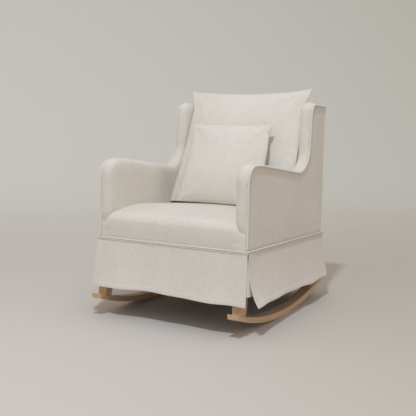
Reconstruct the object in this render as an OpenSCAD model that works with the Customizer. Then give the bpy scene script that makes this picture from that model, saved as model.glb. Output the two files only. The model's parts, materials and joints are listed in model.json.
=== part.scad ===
// Skirted wing-back nursery rocking chair: an upholstered hardwood body on two
// bent runners, with a loose back cushion and a small loose pillow.
// The body is drawn square in its own frame and then pitched back over the
// runners. The front faces -Y, and left and right are the sitter's, so the
// left side of the chair is at +X. Millimetres.

/* [Body] */
// Width over the upholstered sides
body_w = 740; // [720:5:760]
// Depth from the arm fronts to the outside back
body_d = 800; // [790:5:810]
// Height of the welt that the skirt hangs from
welt_z = 335; // [330:1:340]
// Height of the arms at their front
arm_z = 680; // [660:5:700]
// Height of the wings and of the back
back_z = 950; // [930:5:970]
// Thickness of a padded arm or wing
side_t = 62; // [60:1:66]
// Lean of the inside back from upright, in degrees
back_lean = 20; // [18:0.5:21]
// Pitch of the whole body over the runners, in degrees
body_pitch = 2.1; // [1.5:0.1:2.5]

/* [Seat] */
// Height of the seat crown
seat_z = 482; // [478:1:486]
// Drop of the seat crown from its middle to the arms
seat_crown = 24; // [18:1:30]
// Height of the seam between the arm fronts and the seat front
lip_z = 418; // [410:1:424]

/* [Skirt] */
// Height of the hem
hem_z = 116; // [112:1:130]
// Outward flare of the panels at the hem
skirt_flare = 26; // [22:1:32]
// Outward flare of the front corners of the side panels
tip_flare = 50; // [30:1:54]

/* [Runners] */
// Radius of the rolling face of a runner
runner_r = 1260; // [1200:10:1300]
// Length of a runner along the floor
runner_l = 902; // [890:2:910]
// Width of a runner
runner_w = 50; // [44:1:54]
// Thickness of a runner at its middle
runner_t = 28; // [26:1:30]
// Thickness of a runner at its tips
tip_t = 21; // [18:1:24]

/* [Cushions] */
// Width of the back cushion
cushion_w = 611; // [590:1:612]
// Height of the back cushion along its lean
cushion_h = 585; // [560:5:590]
// Width of the pillow
pillow_w = 440; // [400:5:460]
// Height of the pillow along its lean
pillow_h = 400; // [380:5:410]

/* [Hidden] */
$fn = 48;

gap = 0.3;              // clearance between soft layers
cloth_t = 2;            // upholstery fabric with its batting
edge_pad = 12;          // foam over the edges of the side frames
timber_t = 24;          // thickness of the frame timber
side_x = body_w / 2;
inner_x = side_x - side_t;
front_y = -body_d / 2;
rear_y = body_d / 2;
timber_x = side_x - 8;                 // outer face of the side frames
timber_in_x = timber_x - timber_t;     // inner face of the side frames
rail_top_z = welt_z + 5;
rail_h = 90;
rail_z = rail_top_z - rail_h;
rail_front_y = front_y + 4;
rail_rear_y = rear_y - 4;
seat_cloth = "#e4dfd3";
foam_colour = "#e8d9a0";
oak_colour = "#b08a5f";
timber_colour = "#c9a77a";
steel_colour = "#9a9ca0";

// ---- plane geometry ----
function unit(v) = v / norm(v);
function left_normal(a, b) = let (u = unit(b - a)) [-u[1], u[0]];
function turn(a, b, c) = (b - a)[0] * (c - b)[1] - (b - a)[1] * (c - b)[0];

// Vertex of a counter-clockwise outline after every edge has moved in by d
function inset_vertex(a, b, c, d) =
    let (n = left_normal(a, b), m = left_normal(b, c)) b + d * (n + m) / (1 + n * m);

// Points of an arc of radius r that rounds the corner b between a and c
function corner_arc(a, b, c, r, steps) =
    let (
        u = unit(a - b),
        v = unit(c - b),
        opening = acos(u * v),
        centre = b + unit(u + v) * r / sin(opening / 2),
        start = b + u * r / tan(opening / 2) - centre,
        sweep = (180 - opening) * sign(turn(a, b, c)),
        from = atan2(start[1], start[0])
    )
    [for (k = [0:steps]) centre + r * [cos(from + sweep * k / steps), sin(from + sweep * k / steps)]];

function rounded(points, radii, steps = 6) =
    let (n = len(points))
    [for (i = [0:n - 1])
        each radii[i] > 0
            ? corner_arc(points[(i + n - 1) % n], points[i], points[(i + 1) % n], radii[i], steps)
            : [points[i]]];

// ---- side profile of arm and wing, as [y, z] ----
arm_low_y = 205;
arm_low_z = arm_z - 55;
wing_top_y = 228;
// Corners counter-clockwise, from the rear foot along the foot to the front and over the top
side_corners = [
    [rear_y, rail_top_z],
    [rear_y, back_z - 3],
    [wing_top_y, back_z + 1],
    [arm_low_y, arm_low_z],
    [front_y + 130, arm_z],
    [front_y, arm_z + 2],
    [front_y, rail_top_z]
];
side_radii = [0, 0, 46, 115, 320, 68, 0];
hollow_corner = 3;      // the one corner of the profile that is concave

function side_profile(inset, rear, foot) =
    let (
        n = len(side_corners),
        moved = [for (i = [0:n - 1])
            inset_vertex(side_corners[(i + n - 1) % n], side_corners[i], side_corners[(i + 1) % n], inset)],
        held = [for (i = [0:n - 1])
            [i < 2 ? rear : moved[i][0], i == 0 || i == n - 1 ? foot : moved[i][1]]],
        radii = [for (i = [0:n - 1])
            side_radii[i] == 0 ? 0 : i == hollow_corner ? side_radii[i] + inset : side_radii[i] - inset]
    )
    rounded(held, radii);

// ---- placing ----
module pitched() rotate([-body_pitch, 0, 0]) children();
module right_hand() mirror([1, 0, 0]) children();
module both_sides() {
    children();
    right_hand() children();
}
module extrude_x(x0, x1) translate([x0, 0, 0]) rotate([90, 0, 90]) linear_extrude(x1 - x0) children();
module extrude_y(y0, y1) translate([0, y1, 0]) rotate([90, 0, 0]) linear_extrude(y1 - y0) children();
module block(low, high) translate(low) cube(high - low);

// A round cord along a path, drawn as rings of flat sides; up is never along the path
module cord(path, d, up, sides = 8, closed = false) {
    n = len(path);
    function along(i) = closed
        ? unit(path[(i + 1) % n] - path[(i + n - 1) % n])
        : unit(path[min(i + 1, n - 1)] - path[max(i - 1, 0)]);
    function ring(i) =
        let (t = along(i), a = unit(cross(t, up)), b = cross(a, t))
        [for (k = [0:sides - 1]) path[i] + d / 2 * (a * cos(360 * k / sides) + b * sin(360 * k / sides))];
    points = [for (i = [0:n - 1]) each ring(i)];
    spans = closed ? n : n - 1;
    walls = [for (i = [0:spans - 1], k = [0:sides - 1])
        let (j = (i + 1) % n, l = (k + 1) % sides)
        [i * sides + k, i * sides + l, j * sides + l, j * sides + k]];
    ends = closed ? [] : [
        [for (k = [sides - 1:-1:0]) k],
        [for (k = [0:sides - 1]) (n - 1) * sides + k]
    ];
    polyhedron(points, concat(walls, ends));
}

// A closed solid between two outlines of [x, y] with equally many corners, at two heights
module loft(low, high, low_z, high_z) {
    n = len(low);
    points = concat([for (p = low) [p[0], p[1], low_z]], [for (p = high) [p[0], p[1], high_z]]);
    // The first half of the walls is split along one diagonal and the second half along the other,
    // so that the two faces of a twisted strip bend alike
    walls = [for (i = [0:n - 1])
        let (j = (i + 1) % n)
        each i < n / 2 ? [[i, n + i, n + j], [i, n + j, j]] : [[i, n + i, j], [n + i, n + j, j]]];
    polyhedron(points, concat(walls, [[for (i = [0:n - 1]) i], [for (i = [n - 1:-1:0]) n + i]]));
}

// ---- runners ----
runner_x = side_x - 1 - runner_w;
half_l = runner_l / 2;
function arc_rise(r, y) = r - sqrt(r * r - y * y);
tip_rise = arc_rise(runner_r, half_l);
top_rise = tip_rise + tip_t - runner_t;
runner_top_r = (half_l * half_l + top_rise * top_rise) / (2 * top_rise);

leg_foot_z = 75;
leg_top_z = rail_z - 2.5;
leg_top = 56;
leg_foot = 42;
front_leg_y = [rail_front_y, front_y - 17];     // front face at the top and at the foot
rear_leg_y = [rear_y - 104, rear_y - 92];
leg_in_x = [timber_x - leg_top, timber_x - leg_foot + 1];
leg_bolt_x = timber_in_x - 14;
front_bolt_y = rail_front_y + timber_t + 14;
rear_bolt_y = rear_leg_y[0] + leg_top / 2;
screw_r = 2.5;
screw_l = 45;
screw_x = runner_x + runner_w / 2 - 3;
front_screw_y = [front_y - 12, front_y + 6];
rear_screw_y = [rear_y - 67, rear_y - 49];

// A screw's place on the rolling face at y, standing square to the face
module radial(y) {
    translate([screw_x, 0, runner_r]) rotate([asin(y / runner_r), 0, 0]) translate([0, 0, -runner_r]) children();
}

module runner() {
    color(oak_colour)
    difference() {
        extrude_x(runner_x, runner_x + runner_w)
            difference() {
                intersection() {
                    translate([0, runner_r]) circle(runner_r, $fn = 360);
                    translate([-half_l, -1]) square([runner_l, 200]);
                }
                translate([0, runner_t + runner_top_r]) circle(runner_top_r, $fn = 360);
            }
        for (y = concat(front_screw_y, rear_screw_y))
            radial(y) {
                translate([0, 0, -1]) cylinder(r = screw_r + 0.05, h = 60);
                translate([0, 0, -1]) cylinder(r = 5.2, h = 6);
            }
    }
}

module leg(face_y) {
    drop = leg_top_z - leg_foot_z;
    below = 40;
    function down(top, foot) = foot + (foot - top) * below / drop;
    color(oak_colour)
    difference() {
        intersection() {
            pitched() intersection() {
                extrude_x(leg_in_x[0] - 1, timber_x + 1) polygon([
                    [face_y[0], leg_top_z],
                    [down(face_y[0], face_y[1]), leg_foot_z - below],
                    [down(face_y[0] + leg_top, face_y[1] + leg_foot), leg_foot_z - below],
                    [face_y[0] + leg_top, leg_top_z]
                ]);
                extrude_y(-rear_y - 60, rear_y + 60) polygon([
                    [leg_in_x[0], leg_top_z],
                    [down(leg_in_x[0], leg_in_x[1]), leg_foot_z - below],
                    [timber_x, leg_foot_z - below],
                    [timber_x, leg_top_z]
                ]);
            }
            translate([0, 0, runner_t + runner_top_r + 0.3])
                rotate([0, 90, 0]) cylinder(r = runner_top_r, h = side_x, $fn = 360);
        }
        pitched() translate([leg_bolt_x, face_y == front_leg_y ? front_bolt_y : rear_bolt_y, leg_top_z - bolt_down - 1])
            cylinder(r = bolt_r + 0.05, h = 60);
        for (y = concat(front_screw_y, rear_screw_y)) radial(y) cylinder(r = screw_r + 0.05, h = screw_l + 8);
    }
}

// ---- leg hardware ----
plate_t = 2.5;
bolt_r = 4;
bolt_down = 38;
block_h = 50;
bolt_up = plate_t + block_h + 14;

module leg_bolt_places() {
    for (y = [front_bolt_y, rear_bolt_y]) translate([leg_bolt_x, y, 0]) children();
}

module leg_plates() {
    color(steel_colour) pitched() both_sides()
        difference() {
            for (y = [front_leg_y[0], rear_leg_y[0]])
                block([leg_in_x[0] - 12, y, leg_top_z], [timber_x, y + leg_top, leg_top_z + plate_t]);
            leg_bolt_places() translate([0, 0, leg_top_z - 1]) cylinder(r = bolt_r + 0.3, h = plate_t + 2);
        }
}

module leg_bolts() {
    color(steel_colour) pitched() both_sides() leg_bolt_places()
        translate([0, 0, leg_top_z - bolt_down]) cylinder(r = bolt_r, h = bolt_down + bolt_up);
}

module leg_nuts() {
    nut_z = rail_z + block_h;
    color(steel_colour) pitched() both_sides() leg_bolt_places()
        difference() {
            union() {
                translate([0, 0, nut_z]) cylinder(r = 9, h = 1.6);
                translate([0, 0, nut_z + 1.6]) cylinder(r = 7.5, h = 6.5, $fn = 6);
            }
            translate([0, 0, nut_z - 1]) cylinder(r = bolt_r + 0.05, h = 12);
        }
}

module runner_screws() {
    color(steel_colour) both_sides() for (y = concat(front_screw_y, rear_screw_y))
        radial(y) {
            translate([0, 0, 2]) cylinder(r = 5, h = 2.9);
            translate([0, 0, 2]) cylinder(r = screw_r, h = screw_l + 4);
        }
}

// ---- seat frame ----
front_rail_t = 54;      // the front rail is doubled between the leg blocks
module seat_rail_front() {
    color(timber_colour) pitched() union() {
        block([-timber_x, rail_front_y, rail_z], [timber_x, rail_front_y + timber_t, rail_top_z]);
        block([60 - timber_in_x, rail_front_y + timber_t - 1, rail_z],
              [timber_in_x - 60, rail_front_y + front_rail_t, rail_top_z]);
    }
}

module seat_rail_back() {
    color(timber_colour) pitched()
        block([-timber_x, rail_rear_y - timber_t, rail_z], [timber_x, rail_rear_y, rail_top_z]);
}

module seat_rail_side() {
    color(timber_colour) pitched()
        block([timber_in_x, rail_front_y + timber_t, rail_z], [timber_x, rail_rear_y - timber_t, rail_top_z]);
}

spring_rail_y = 200;
module spring_rail() {
    color(timber_colour) pitched()
        block([-timber_in_x, spring_rail_y, rail_top_z - 60], [timber_in_x, spring_rail_y + timber_t, rail_top_z]);
}

module leg_blocks() {
    color(timber_colour) pitched() both_sides()
        difference() {
            union() {
                block([timber_in_x - 60, rail_front_y + timber_t, rail_z],
                      [timber_in_x, rail_front_y + timber_t + 75, rail_z + block_h]);
                block([timber_in_x - 60, rear_bolt_y - 45, rail_z], [timber_in_x, rear_bolt_y + 45, rail_z + block_h]);
            }
            leg_bolt_places() translate([0, 0, rail_z - 1]) cylinder(r = bolt_r + 0.2, h = block_h + 2);
        }
}

// ---- seat springing ----
spring_d = 3.8;
spring_count = 5;
spring_pitch = 112;
spring_bends = 16;
spring_half_w = 24;
spring_rise = 16;
spring_start_y = rail_front_y + timber_t / 2;
spring_end_y = spring_rail_y + timber_t / 2;
clip_t = 2;

function spring_path(x) =
    [for (k = [0:spring_bends * 4])
        let (s = k / (spring_bends * 4), swing = sin(s * spring_bends * 180))
        [x + spring_half_w * sign(swing) * pow(abs(swing), 0.6),
         spring_start_y + (spring_end_y - spring_start_y) * s,
         rail_top_z + clip_t + spring_d / 2 + 0.2 + spring_rise * sin(s * 180)]];

module seat_springs() {
    color(steel_colour) pitched()
        for (k = [0:spring_count - 1])
            cord(spring_path((k - (spring_count - 1) / 2) * spring_pitch), spring_d, [0, 0, 1], 6);
}

module spring_clips() {
    color(steel_colour) pitched()
        for (k = [0:spring_count - 1], y = [spring_start_y, spring_end_y])
            translate([(k - (spring_count - 1) / 2) * spring_pitch, y, rail_top_z])
                difference() {
                    block([-8, -7, 0], [8, 7, clip_t + spring_d + 2.4]);
                    block([-9, y < 0 ? -4.5 : -8, clip_t], [9, y < 0 ? 8 : 4.5, clip_t + spring_d + 0.6]);
                }
}

deck_z = rail_top_z + clip_t + spring_d + spring_rise + 1;
module seat_deck() {
    color("#8d7f66") pitched()
        block([-inner_x + 1, rail_front_y + 6, deck_z], [inner_x - 1, inside_back_y(deck_z) - 3, deck_z + 3]);
}

// ---- seat upholstery ----
// Section of the seat on its centre line, as [y, z]
function seat_section(inset, foot) =
    rounded([
        [inside_back_y(foot) - 1, foot],
        [inside_back_y(seat_z - 27) - 1, seat_z - 27 - inset],
        [0, seat_z - 8 - inset],
        [front_y + 210, seat_z + 3 - inset],
        [front_y + inset, lip_z + 28 - inset],
        [front_y + inset, foot]
    ], [0, 0, 300, 380, 42 - inset, 0]);

module seat_crown_limit(inset) {
    crown_r = (inner_x * inner_x + seat_crown * seat_crown) / (2 * seat_crown);
    translate([0, -body_d, seat_z - crown_r - inset]) rotate([-90, 0, 0]) cylinder(r = crown_r, h = 2 * body_d, $fn = 360);
}

module seat_body(inset, foot) {
    intersection() {
        extrude_x(-inner_x + gap + inset, inner_x - gap - inset) polygon(seat_section(inset, foot));
        seat_crown_limit(inset);
    }
}

lip_x = side_x - 4;
lip_depth = 13.6;
// The seat front runs across below both arm fronts
module seat_lip(inset, depth, foot) {
    block([-lip_x + inset, front_y + inset, foot], [lip_x - inset, front_y + depth, lip_z - 1 - inset]);
}

module seat_foam() {
    color(foam_colour) pitched() union() {
        seat_body(cloth_t, deck_z + 3);
        seat_lip(cloth_t, lip_depth / 2, rail_top_z + 1);
        both_sides()
            block([inner_x, front_y + cloth_t, rail_top_z + 1], [lip_x - cloth_t, front_y + lip_depth, lip_z - 1 - cloth_t]);
    }
}

module seat_cover() {
    color(seat_cloth) pitched() difference() {
        union() {
            seat_body(0, rail_top_z + 30);
            seat_lip(0, lip_depth, welt_z + 1);
        }
        seat_body(cloth_t, rail_top_z + 29);
        block([-side_x, front_y + cloth_t, rail_top_z + 0.5], [side_x, front_y + 90, lip_z - 1 - cloth_t]);
        block([-side_x, front_y + cloth_t, welt_z], [side_x, front_y + 90, rail_top_z + 1]);
        block([-side_x, front_y + 40, 0], [side_x, rear_y, rail_top_z + 32]);
    }
}

module dust_cover() {
    color("#2b2a29") pitched() difference() {
        block([-timber_x, rail_front_y, rail_z - 1], [timber_x, rail_rear_y, rail_z]);
        both_sides() for (y = [front_leg_y[0], rear_leg_y[0]])
            block([leg_in_x[0] - 13, y - 5, rail_z - 2], [timber_x + 5, y + leg_top + 1, rail_z + 1]);
    }
}

// ---- side frames ----
frame_edge = edge_pad + cloth_t;
frame_depth = 55;
back_post_y = 344;

module side_frame(low, high) {
    color(timber_colour) pitched() extrude_x(timber_in_x, timber_x)
        intersection() {
            difference() {
                polygon(side_profile(frame_edge, rail_rear_y, rail_top_z));
                polygon(side_profile(frame_edge + frame_depth, back_post_y, rail_top_z - 1));
            }
            translate(low) square(high - low);
        }
}

post_split_z = arm_z - 110;
wing_split_y = 150;
module front_post() side_frame([front_y, rail_top_z], [front_y + 100, post_split_z]);
module arm_rail() side_frame([front_y, post_split_z], [wing_split_y, arm_z + 40]);
module wing_board() side_frame([wing_split_y, post_split_z], [back_post_y, back_z + 20]);
module back_post() side_frame([back_post_y, rail_top_z], [rear_y, back_z + 20]);

// ---- back frame ----
// Depth of the inside back surface at height z
inside_back_foot_y = 185;
function inside_back_y(z) = inside_back_foot_y + (z - 461) * tan(back_lean);

stay_in = 12;
stay_depth = 40;
module back_stay() {
    color(timber_colour) pitched() extrude_x(inner_x + 3, timber_in_x - gap)
        intersection() {
            polygon([
                [inside_back_y(rail_top_z) + stay_in, rail_top_z],
                [inside_back_y(rail_top_z) + stay_in + stay_depth, rail_top_z],
                [inside_back_y(back_z) + stay_in + stay_depth, back_z],
                [inside_back_y(back_z) + stay_in, back_z]
            ]);
            polygon(side_profile(frame_edge, rail_rear_y - 2, rail_top_z));
        }
}

top_rail_y = rail_rear_y - timber_t - 3;
module top_back_rail() {
    color(timber_colour) pitched()
        block([-inner_x - 3, top_rail_y, back_z - 85], [inner_x + 3, rail_rear_y - 3, back_z - 18]);
}

web_off = 16;
lower_rail_z = [deck_z + 5, deck_z + 60];
module lower_back_rail() {
    color(timber_colour) pitched() extrude_x(-inner_x - 3, inner_x + 3)
        polygon([
            [inside_back_y(lower_rail_z[0]) + web_off + 2, lower_rail_z[0]],
            [inside_back_y(lower_rail_z[0]) + web_off + 2 + timber_t, lower_rail_z[0]],
            [inside_back_y(lower_rail_z[1]) + web_off + 2 + timber_t, lower_rail_z[1]],
            [inside_back_y(lower_rail_z[1]) + web_off + 2, lower_rail_z[1]]
        ]);
}

// Straps of elastic webbing between the stays, and a layer of uprights on their front
strap_w = 60;
strap_t = 1.2;
module back_slab(x0, x1, z0, z1, near, far) {
    extrude_x(x0, x1) polygon([
        [inside_back_y(z0) + near, z0],
        [inside_back_y(z0) + far, z0],
        [inside_back_y(z1) + far, z1],
        [inside_back_y(z1) + near, z1]
    ]);
}

module back_webbing() {
    color("#6d665b") pitched() {
        for (k = [0:3])
            back_slab(-inner_x - 3, inner_x + 3, 440 + 105 * k, 440 + 105 * k + strap_w, web_off, web_off + strap_t);
        for (k = [-1:1])
            back_slab(170 * k - strap_w / 2, 170 * k + strap_w / 2, lower_rail_z[0] + 10, back_z - 90,
                      web_off - strap_t - 0.1, web_off - 0.1);
    }
}

pad_top_z = back_z - 6;
module back_foam() {
    color(foam_colour) pitched() difference() {
        back_slab(-inner_x + gap, inner_x - gap, deck_z + 5, pad_top_z, cloth_t, web_off - strap_t - 0.6);
        block([-side_x, top_rail_y - gap, back_z - 90], [side_x, rear_y, back_z + 20]);
    }
}

module inside_back_cover() {
    color(seat_cloth) pitched() union() {
        back_slab(-inner_x + gap, inner_x - gap, deck_z + 5, pad_top_z + 1, 0, cloth_t - 0.1);
        block([-inner_x + gap, inside_back_y(pad_top_z + 1), pad_top_z + 1],
              [inner_x - gap, rail_rear_y, pad_top_z + 3]);
    }
}

module outside_back_cover() {
    color(seat_cloth) pitched()
        block([-side_x + 1, rear_y - cloth_t, welt_z + 1], [side_x - 1, rear_y, back_z - 4]);
}

// ---- side upholstery ----
seam_z = lip_z + 0.5;
pad_end = stay_in - gap;

// Everything in front of the inside back surface, moved back by off, and above foot
module front_of_back(off, foot) {
    polygon([
        [front_y - 40, foot],
        [inside_back_y(foot) + off, foot],
        [inside_back_y(back_z + 60) + off, back_z + 60],
        [front_y - 40, back_z + 60]
    ]);
}

module arm_foam() {
    color(foam_colour) pitched() difference() {
        union() {
            extrude_x(inner_x + cloth_t + gap, timber_in_x - gap) intersection() {
                polygon(side_profile(cloth_t + gap, rail_rear_y, rail_top_z));
                front_of_back(pad_end, rail_top_z);
            }
            extrude_x(timber_in_x - gap, timber_x) difference() {
                polygon(side_profile(cloth_t + gap, rail_rear_y, seam_z));
                polygon(side_profile(frame_edge - gap, rear_y + 40, seam_z - 60));
            }
        }
        block([0, front_y - 5, 0], [side_x + 5, front_y + lip_depth + gap, seam_z]);
    }
}

module inside_cover() {
    color(seat_cloth) pitched() union() {
        extrude_x(inner_x, inner_x + cloth_t) intersection() {
            polygon(side_profile(0, rail_rear_y, seat_z - 60));
            front_of_back(pad_end, seat_z - 60);
            union() {
                translate([front_y + lip_depth + 2 * gap, 0]) square([body_d, 2 * back_z]);
                translate([front_y - 1, seam_z]) square([body_d, 2 * back_z]);
            }
        }
        extrude_x(inner_x + cloth_t, side_x - 4) difference() {
            polygon(side_profile(0, rail_rear_y, seam_z));
            polygon(side_profile(cloth_t, rear_y + 40, seam_z - 40));
        }
    }
}

module outside_cover() {
    color(seat_cloth) pitched() extrude_x(side_x - 3.5, side_x)
        intersection() {
            polygon(side_profile(9, rail_rear_y, welt_z + 1));
            translate([front_y, 0]) square([body_d, 2 * back_z]);
        }
}

// Piping along the outer edge of the front, the arm and the wing
piping_d = 7;
piping_foot = welt_z + 6;
function piping_path() =
    let (outline = side_profile(piping_d / 2 + 1, rail_rear_y, piping_foot))
    [for (p = [for (i = [1:len(outline) - 1]) outline[i]]) [side_x + 0.5, p[0], p[1]]];

module piping() {
    color(seat_cloth) pitched() intersection() {
        cord(piping_path(), piping_d, [1, 0, 0]);
        block([side_x - 3.4, front_y - 20, 0], [side_x + 20, rear_y + 20, 2 * back_z]);
    }
}

// ---- skirt ----
welt_d = 9;
skirt_t = 2.4;
welt_corner = 5;

function welt_path() =
    let (x = side_x + welt_d / 2 + 0.2, y = rear_y + welt_d / 2 + 0.2)
    [for (p = rounded([[x, -y], [x, y], [-x, y], [-x, -y]], [for (i = [0:3]) welt_corner], 5)) [p[0], p[1], welt_z]];

module skirt_welt() {
    color(seat_cloth) pitched() cord(welt_path(), welt_d, [0, 0, 1], 8, true);
}

// A panel hanging on the -Y side, half_top to each side at the welt; its hem runs from
// low_end to high_end, each as [place along it, outward flare]
module hanging_panel(half_top, low_end, high_end, hem) {
    top_in = skirt_t / 2;
    function strip(a, b) = [[a[0], a[1] - skirt_t], [b[0], b[1] - skirt_t], b, a];
    loft(
        strip([low_end[0], top_in - low_end[1]], [high_end[0], top_in - high_end[1]]),
        strip([-half_top, top_in], [half_top, top_in]),
        hem,
        welt_z - welt_d / 2 - 0.4
    );
}

hem_x = side_x + 17;    // where the hems of the front and back panels end
module front_skirt() {
    color(seat_cloth) pitched() translate([0, front_y - 4, 0])
        hanging_panel(side_x + 3, [-hem_x, skirt_flare], [hem_x, skirt_flare], hem_z);
}

module side_skirt() {
    color(seat_cloth) pitched() translate([side_x + 4, 0, 0]) rotate([0, 0, 90])
        hanging_panel(rear_y - 4, [front_y, tip_flare], [rear_y + 6, skirt_flare + 4], hem_z - 2);
}

module back_skirt() {
    color(seat_cloth) pitched() rotate([0, 0, 180]) translate([0, front_y - 4, 0])
        hanging_panel(side_x + 3, [-hem_x, skirt_flare], [hem_x, skirt_flare], hem_z + 8);
}

// Corner pieces that close the slits between the panels, from inside: two strips at each
// corner, one facing the front or the back and one facing the side
underlay_l = 95;
underlay_t = 1.4;
underlay_flare = 15;
underlay_rise = 40;     // from the hem of the panels to the hem of the corner pieces
module skirt_underlays() {
    function strip(low, high) = [low, [high[0], low[1]], high, [low[0], high[1]]];
    function facing_front(out) =
        let (y = front_y - 0.6 - out)
        strip([side_x - underlay_l, y - underlay_t], [side_x + 0.6 + out + underlay_t, y]);
    function facing_side(out) =
        let (x = side_x + 0.6 + out)
        strip([x, front_y - 0.4 - out], [x + underlay_t, front_y + underlay_l]);
    module corner() {
        loft(facing_front(underlay_flare), facing_front(0), hem_z + underlay_rise, welt_z - welt_d);
        loft(facing_side(underlay_flare), facing_side(0), hem_z + underlay_rise, welt_z - welt_d);
    }
    color(seat_cloth) pitched() both_sides() {
        corner();
        mirror([0, 1, 0]) corner();
    }
}

// ---- loose cushions ----
edge_half = 3.5;        // half thickness of a cushion along its seams
side_pull = 0.035;      // how far the sides and the top draw in between the corners
cushion_steps = 12;

// Point of a stuffed shape standing on z = 0, for s across and t up its face, both from -1 to 1
function stuffed_point(w, h, depth, inset, s, t) =
    let (
        crown = pow((1 - s * s) * (1 - t * t), 0.62),
        draw_s = 1 - side_pull * (1 - t * t),
        draw_t = 1 - (t > 0 ? side_pull * (1 - s * s) : 0)
    )
    [
        (w / 2 - inset) * s * draw_s,
        edge_half - inset / 2 + (depth - edge_half - inset / 2) * crown,
        h / 2 + (h / 2 - inset) * t * draw_t
    ];

// A stuffed shape that bulges by these depths to the front (-Y) and the rear, drawn in by inset
module stuffed(w, h, front, rear, inset) {
    n = cushion_steps;
    row = n + 1;
    half = row * row;
    function share(i) = sin(90 * (2 * i / n - 1));
    points = [
        for (face = [[front, -1], [rear, 1]], j = [0:n], i = [0:n])
            let (p = stuffed_point(w, h, face[0], inset, share(i), share(j))) [p[0], face[1] * p[1], p[2]]
    ];
    fronts = [for (j = [0:n - 1], i = [0:n - 1])
        let (a = j * row + i) each [[a, a + row, a + row + 1], [a, a + row + 1, a + 1]]];
    rears = [for (f = fronts) [f[2] + half, f[1] + half, f[0] + half]];
    rim = concat(
        [for (i = [0:n - 1]) [i, i + 1]],
        [for (j = [0:n - 1]) [j * row + n, (j + 1) * row + n]],
        [for (i = [0:n - 1]) [half - 1 - i, half - 2 - i]],
        [for (j = [0:n - 1]) [(n - j) * row, (n - j - 1) * row]]
    );
    walls = [for (e = rim) each [[e[0], e[1], e[1] + half], [e[0], e[1] + half, e[0] + half]]];
    polyhedron(points, concat(fronts, rears, walls));
}

zip_half_t = 1.4;
zip_h = 5;
cushion_foot_z = 466;
cushion_depths = [57, 62];
cushion_zip_w = 460;
pillow_foot_z = 478;
pillow_x = 12;
pillow_foot_y = 8;
pillow_depths = [56, 46];
pillow_zip_w = 320;
cushion_off = 67;       // from the inside back surface forward to the seams of the back cushion

module at_cushion()
    pitched() translate([0, inside_back_y(cushion_foot_z) - cushion_off, cushion_foot_z])
        rotate([-back_lean, 0, 0]) children();
module at_pillow() pitched() translate([pillow_x, pillow_foot_y, pillow_foot_z]) rotate([-back_lean, 0, 0]) children();

module cover_of(w, h, depths, zip_w) {
    color(seat_cloth) difference() {
        stuffed(w, h, depths[0], depths[1], 0);
        stuffed(w, h, depths[0], depths[1], cloth_t);
        block([-zip_w / 2, -zip_half_t, -1], [zip_w / 2, zip_half_t, cloth_t + 1]);
    }
}

// The inner bag, open at its foot, with the fibre that lies felted against it; the loose
// fibre inside isn't drawn
bag_t = 4;
module bag_of(w, h, depths) {
    color("#f4f2ec") difference() {
        stuffed(w, h, depths[0], depths[1], cloth_t + 0.2);
        stuffed(w, h, depths[0], depths[1], cloth_t + 0.2 + bag_t);
        block([-w, -10, -1], [w, 10, zip_h + 3]);
    }
}

// The chain of a zip, closed, with the slider at its end
module zip_of(zip_w) {
    color("#d8d2c4") block([-zip_w / 2 + 0.2, -zip_half_t + 0.2, 0.3], [zip_w / 2 - 0.2, zip_half_t - 0.2, zip_h]);
}

slider_l = 9;
tab_l = 12;
module slider_of(zip_w) {
    color(steel_colour) translate([-zip_w / 2 + 10, 0, 0]) union() {
        block([0, -3, -1.8], [slider_l, 3, -0.2]);
        block([slider_l - 1, -1.6, -1.8], [slider_l + tab_l, 1.6, -0.9]);
    }
}

runner();  // left_runner
right_hand() runner();  // right_runner
leg(front_leg_y);  // front_left_leg
right_hand() leg(front_leg_y);  // front_right_leg
leg(rear_leg_y);  // rear_left_leg
right_hand() leg(rear_leg_y);  // rear_right_leg
leg_plates();
leg_bolts();
leg_nuts();
runner_screws();
seat_rail_front();  // front_seat_rail
seat_rail_back();  // back_seat_rail
seat_rail_side();  // left_seat_rail
right_hand() seat_rail_side();  // right_seat_rail
spring_rail();
leg_blocks();
seat_springs();
spring_clips();
seat_deck();
seat_foam();
seat_cover();
dust_cover();
front_post();  // left_front_post
right_hand() front_post();  // right_front_post
arm_rail();  // left_arm_rail
right_hand() arm_rail();  // right_arm_rail
wing_board();  // left_wing_board
right_hand() wing_board();  // right_wing_board
back_post();  // left_back_post
right_hand() back_post();  // right_back_post
back_stay();  // left_back_stay
right_hand() back_stay();  // right_back_stay
top_back_rail();
lower_back_rail();
back_webbing();
back_foam();
inside_back_cover();
outside_back_cover();
arm_foam();  // left_arm_foam
right_hand() arm_foam();  // right_arm_foam
inside_cover();  // left_inside_cover
right_hand() inside_cover();  // right_inside_cover
outside_cover();  // left_outside_cover
right_hand() outside_cover();  // right_outside_cover
piping();  // left_piping
right_hand() piping();  // right_piping
skirt_welt();
front_skirt();
side_skirt();  // left_skirt
right_hand() side_skirt();  // right_skirt
back_skirt();
skirt_underlays();
at_cushion() cover_of(cushion_w, cushion_h, cushion_depths, cushion_zip_w);  // back_cushion_cover
at_cushion() bag_of(cushion_w, cushion_h, cushion_depths);  // back_cushion_bag
at_cushion() zip_of(cushion_zip_w);  // back_cushion_zip
at_cushion() slider_of(cushion_zip_w);  // back_cushion_slider
at_pillow() cover_of(pillow_w, pillow_h, pillow_depths, pillow_zip_w);  // pillow_cover
at_pillow() bag_of(pillow_w, pillow_h, pillow_depths);  // pillow_bag
at_pillow() zip_of(pillow_zip_w);  // pillow_zip
at_pillow() slider_of(pillow_zip_w);  // pillow_slider
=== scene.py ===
import json
import logging
import math
from dataclasses import dataclass, field
from enum import Enum
from typing import Callable, Optional, Sequence

import bmesh
import bpy
import numpy as np
from mathutils import Matrix, Vector
from mathutils.geometry import delaunay_2d_cdt


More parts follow.
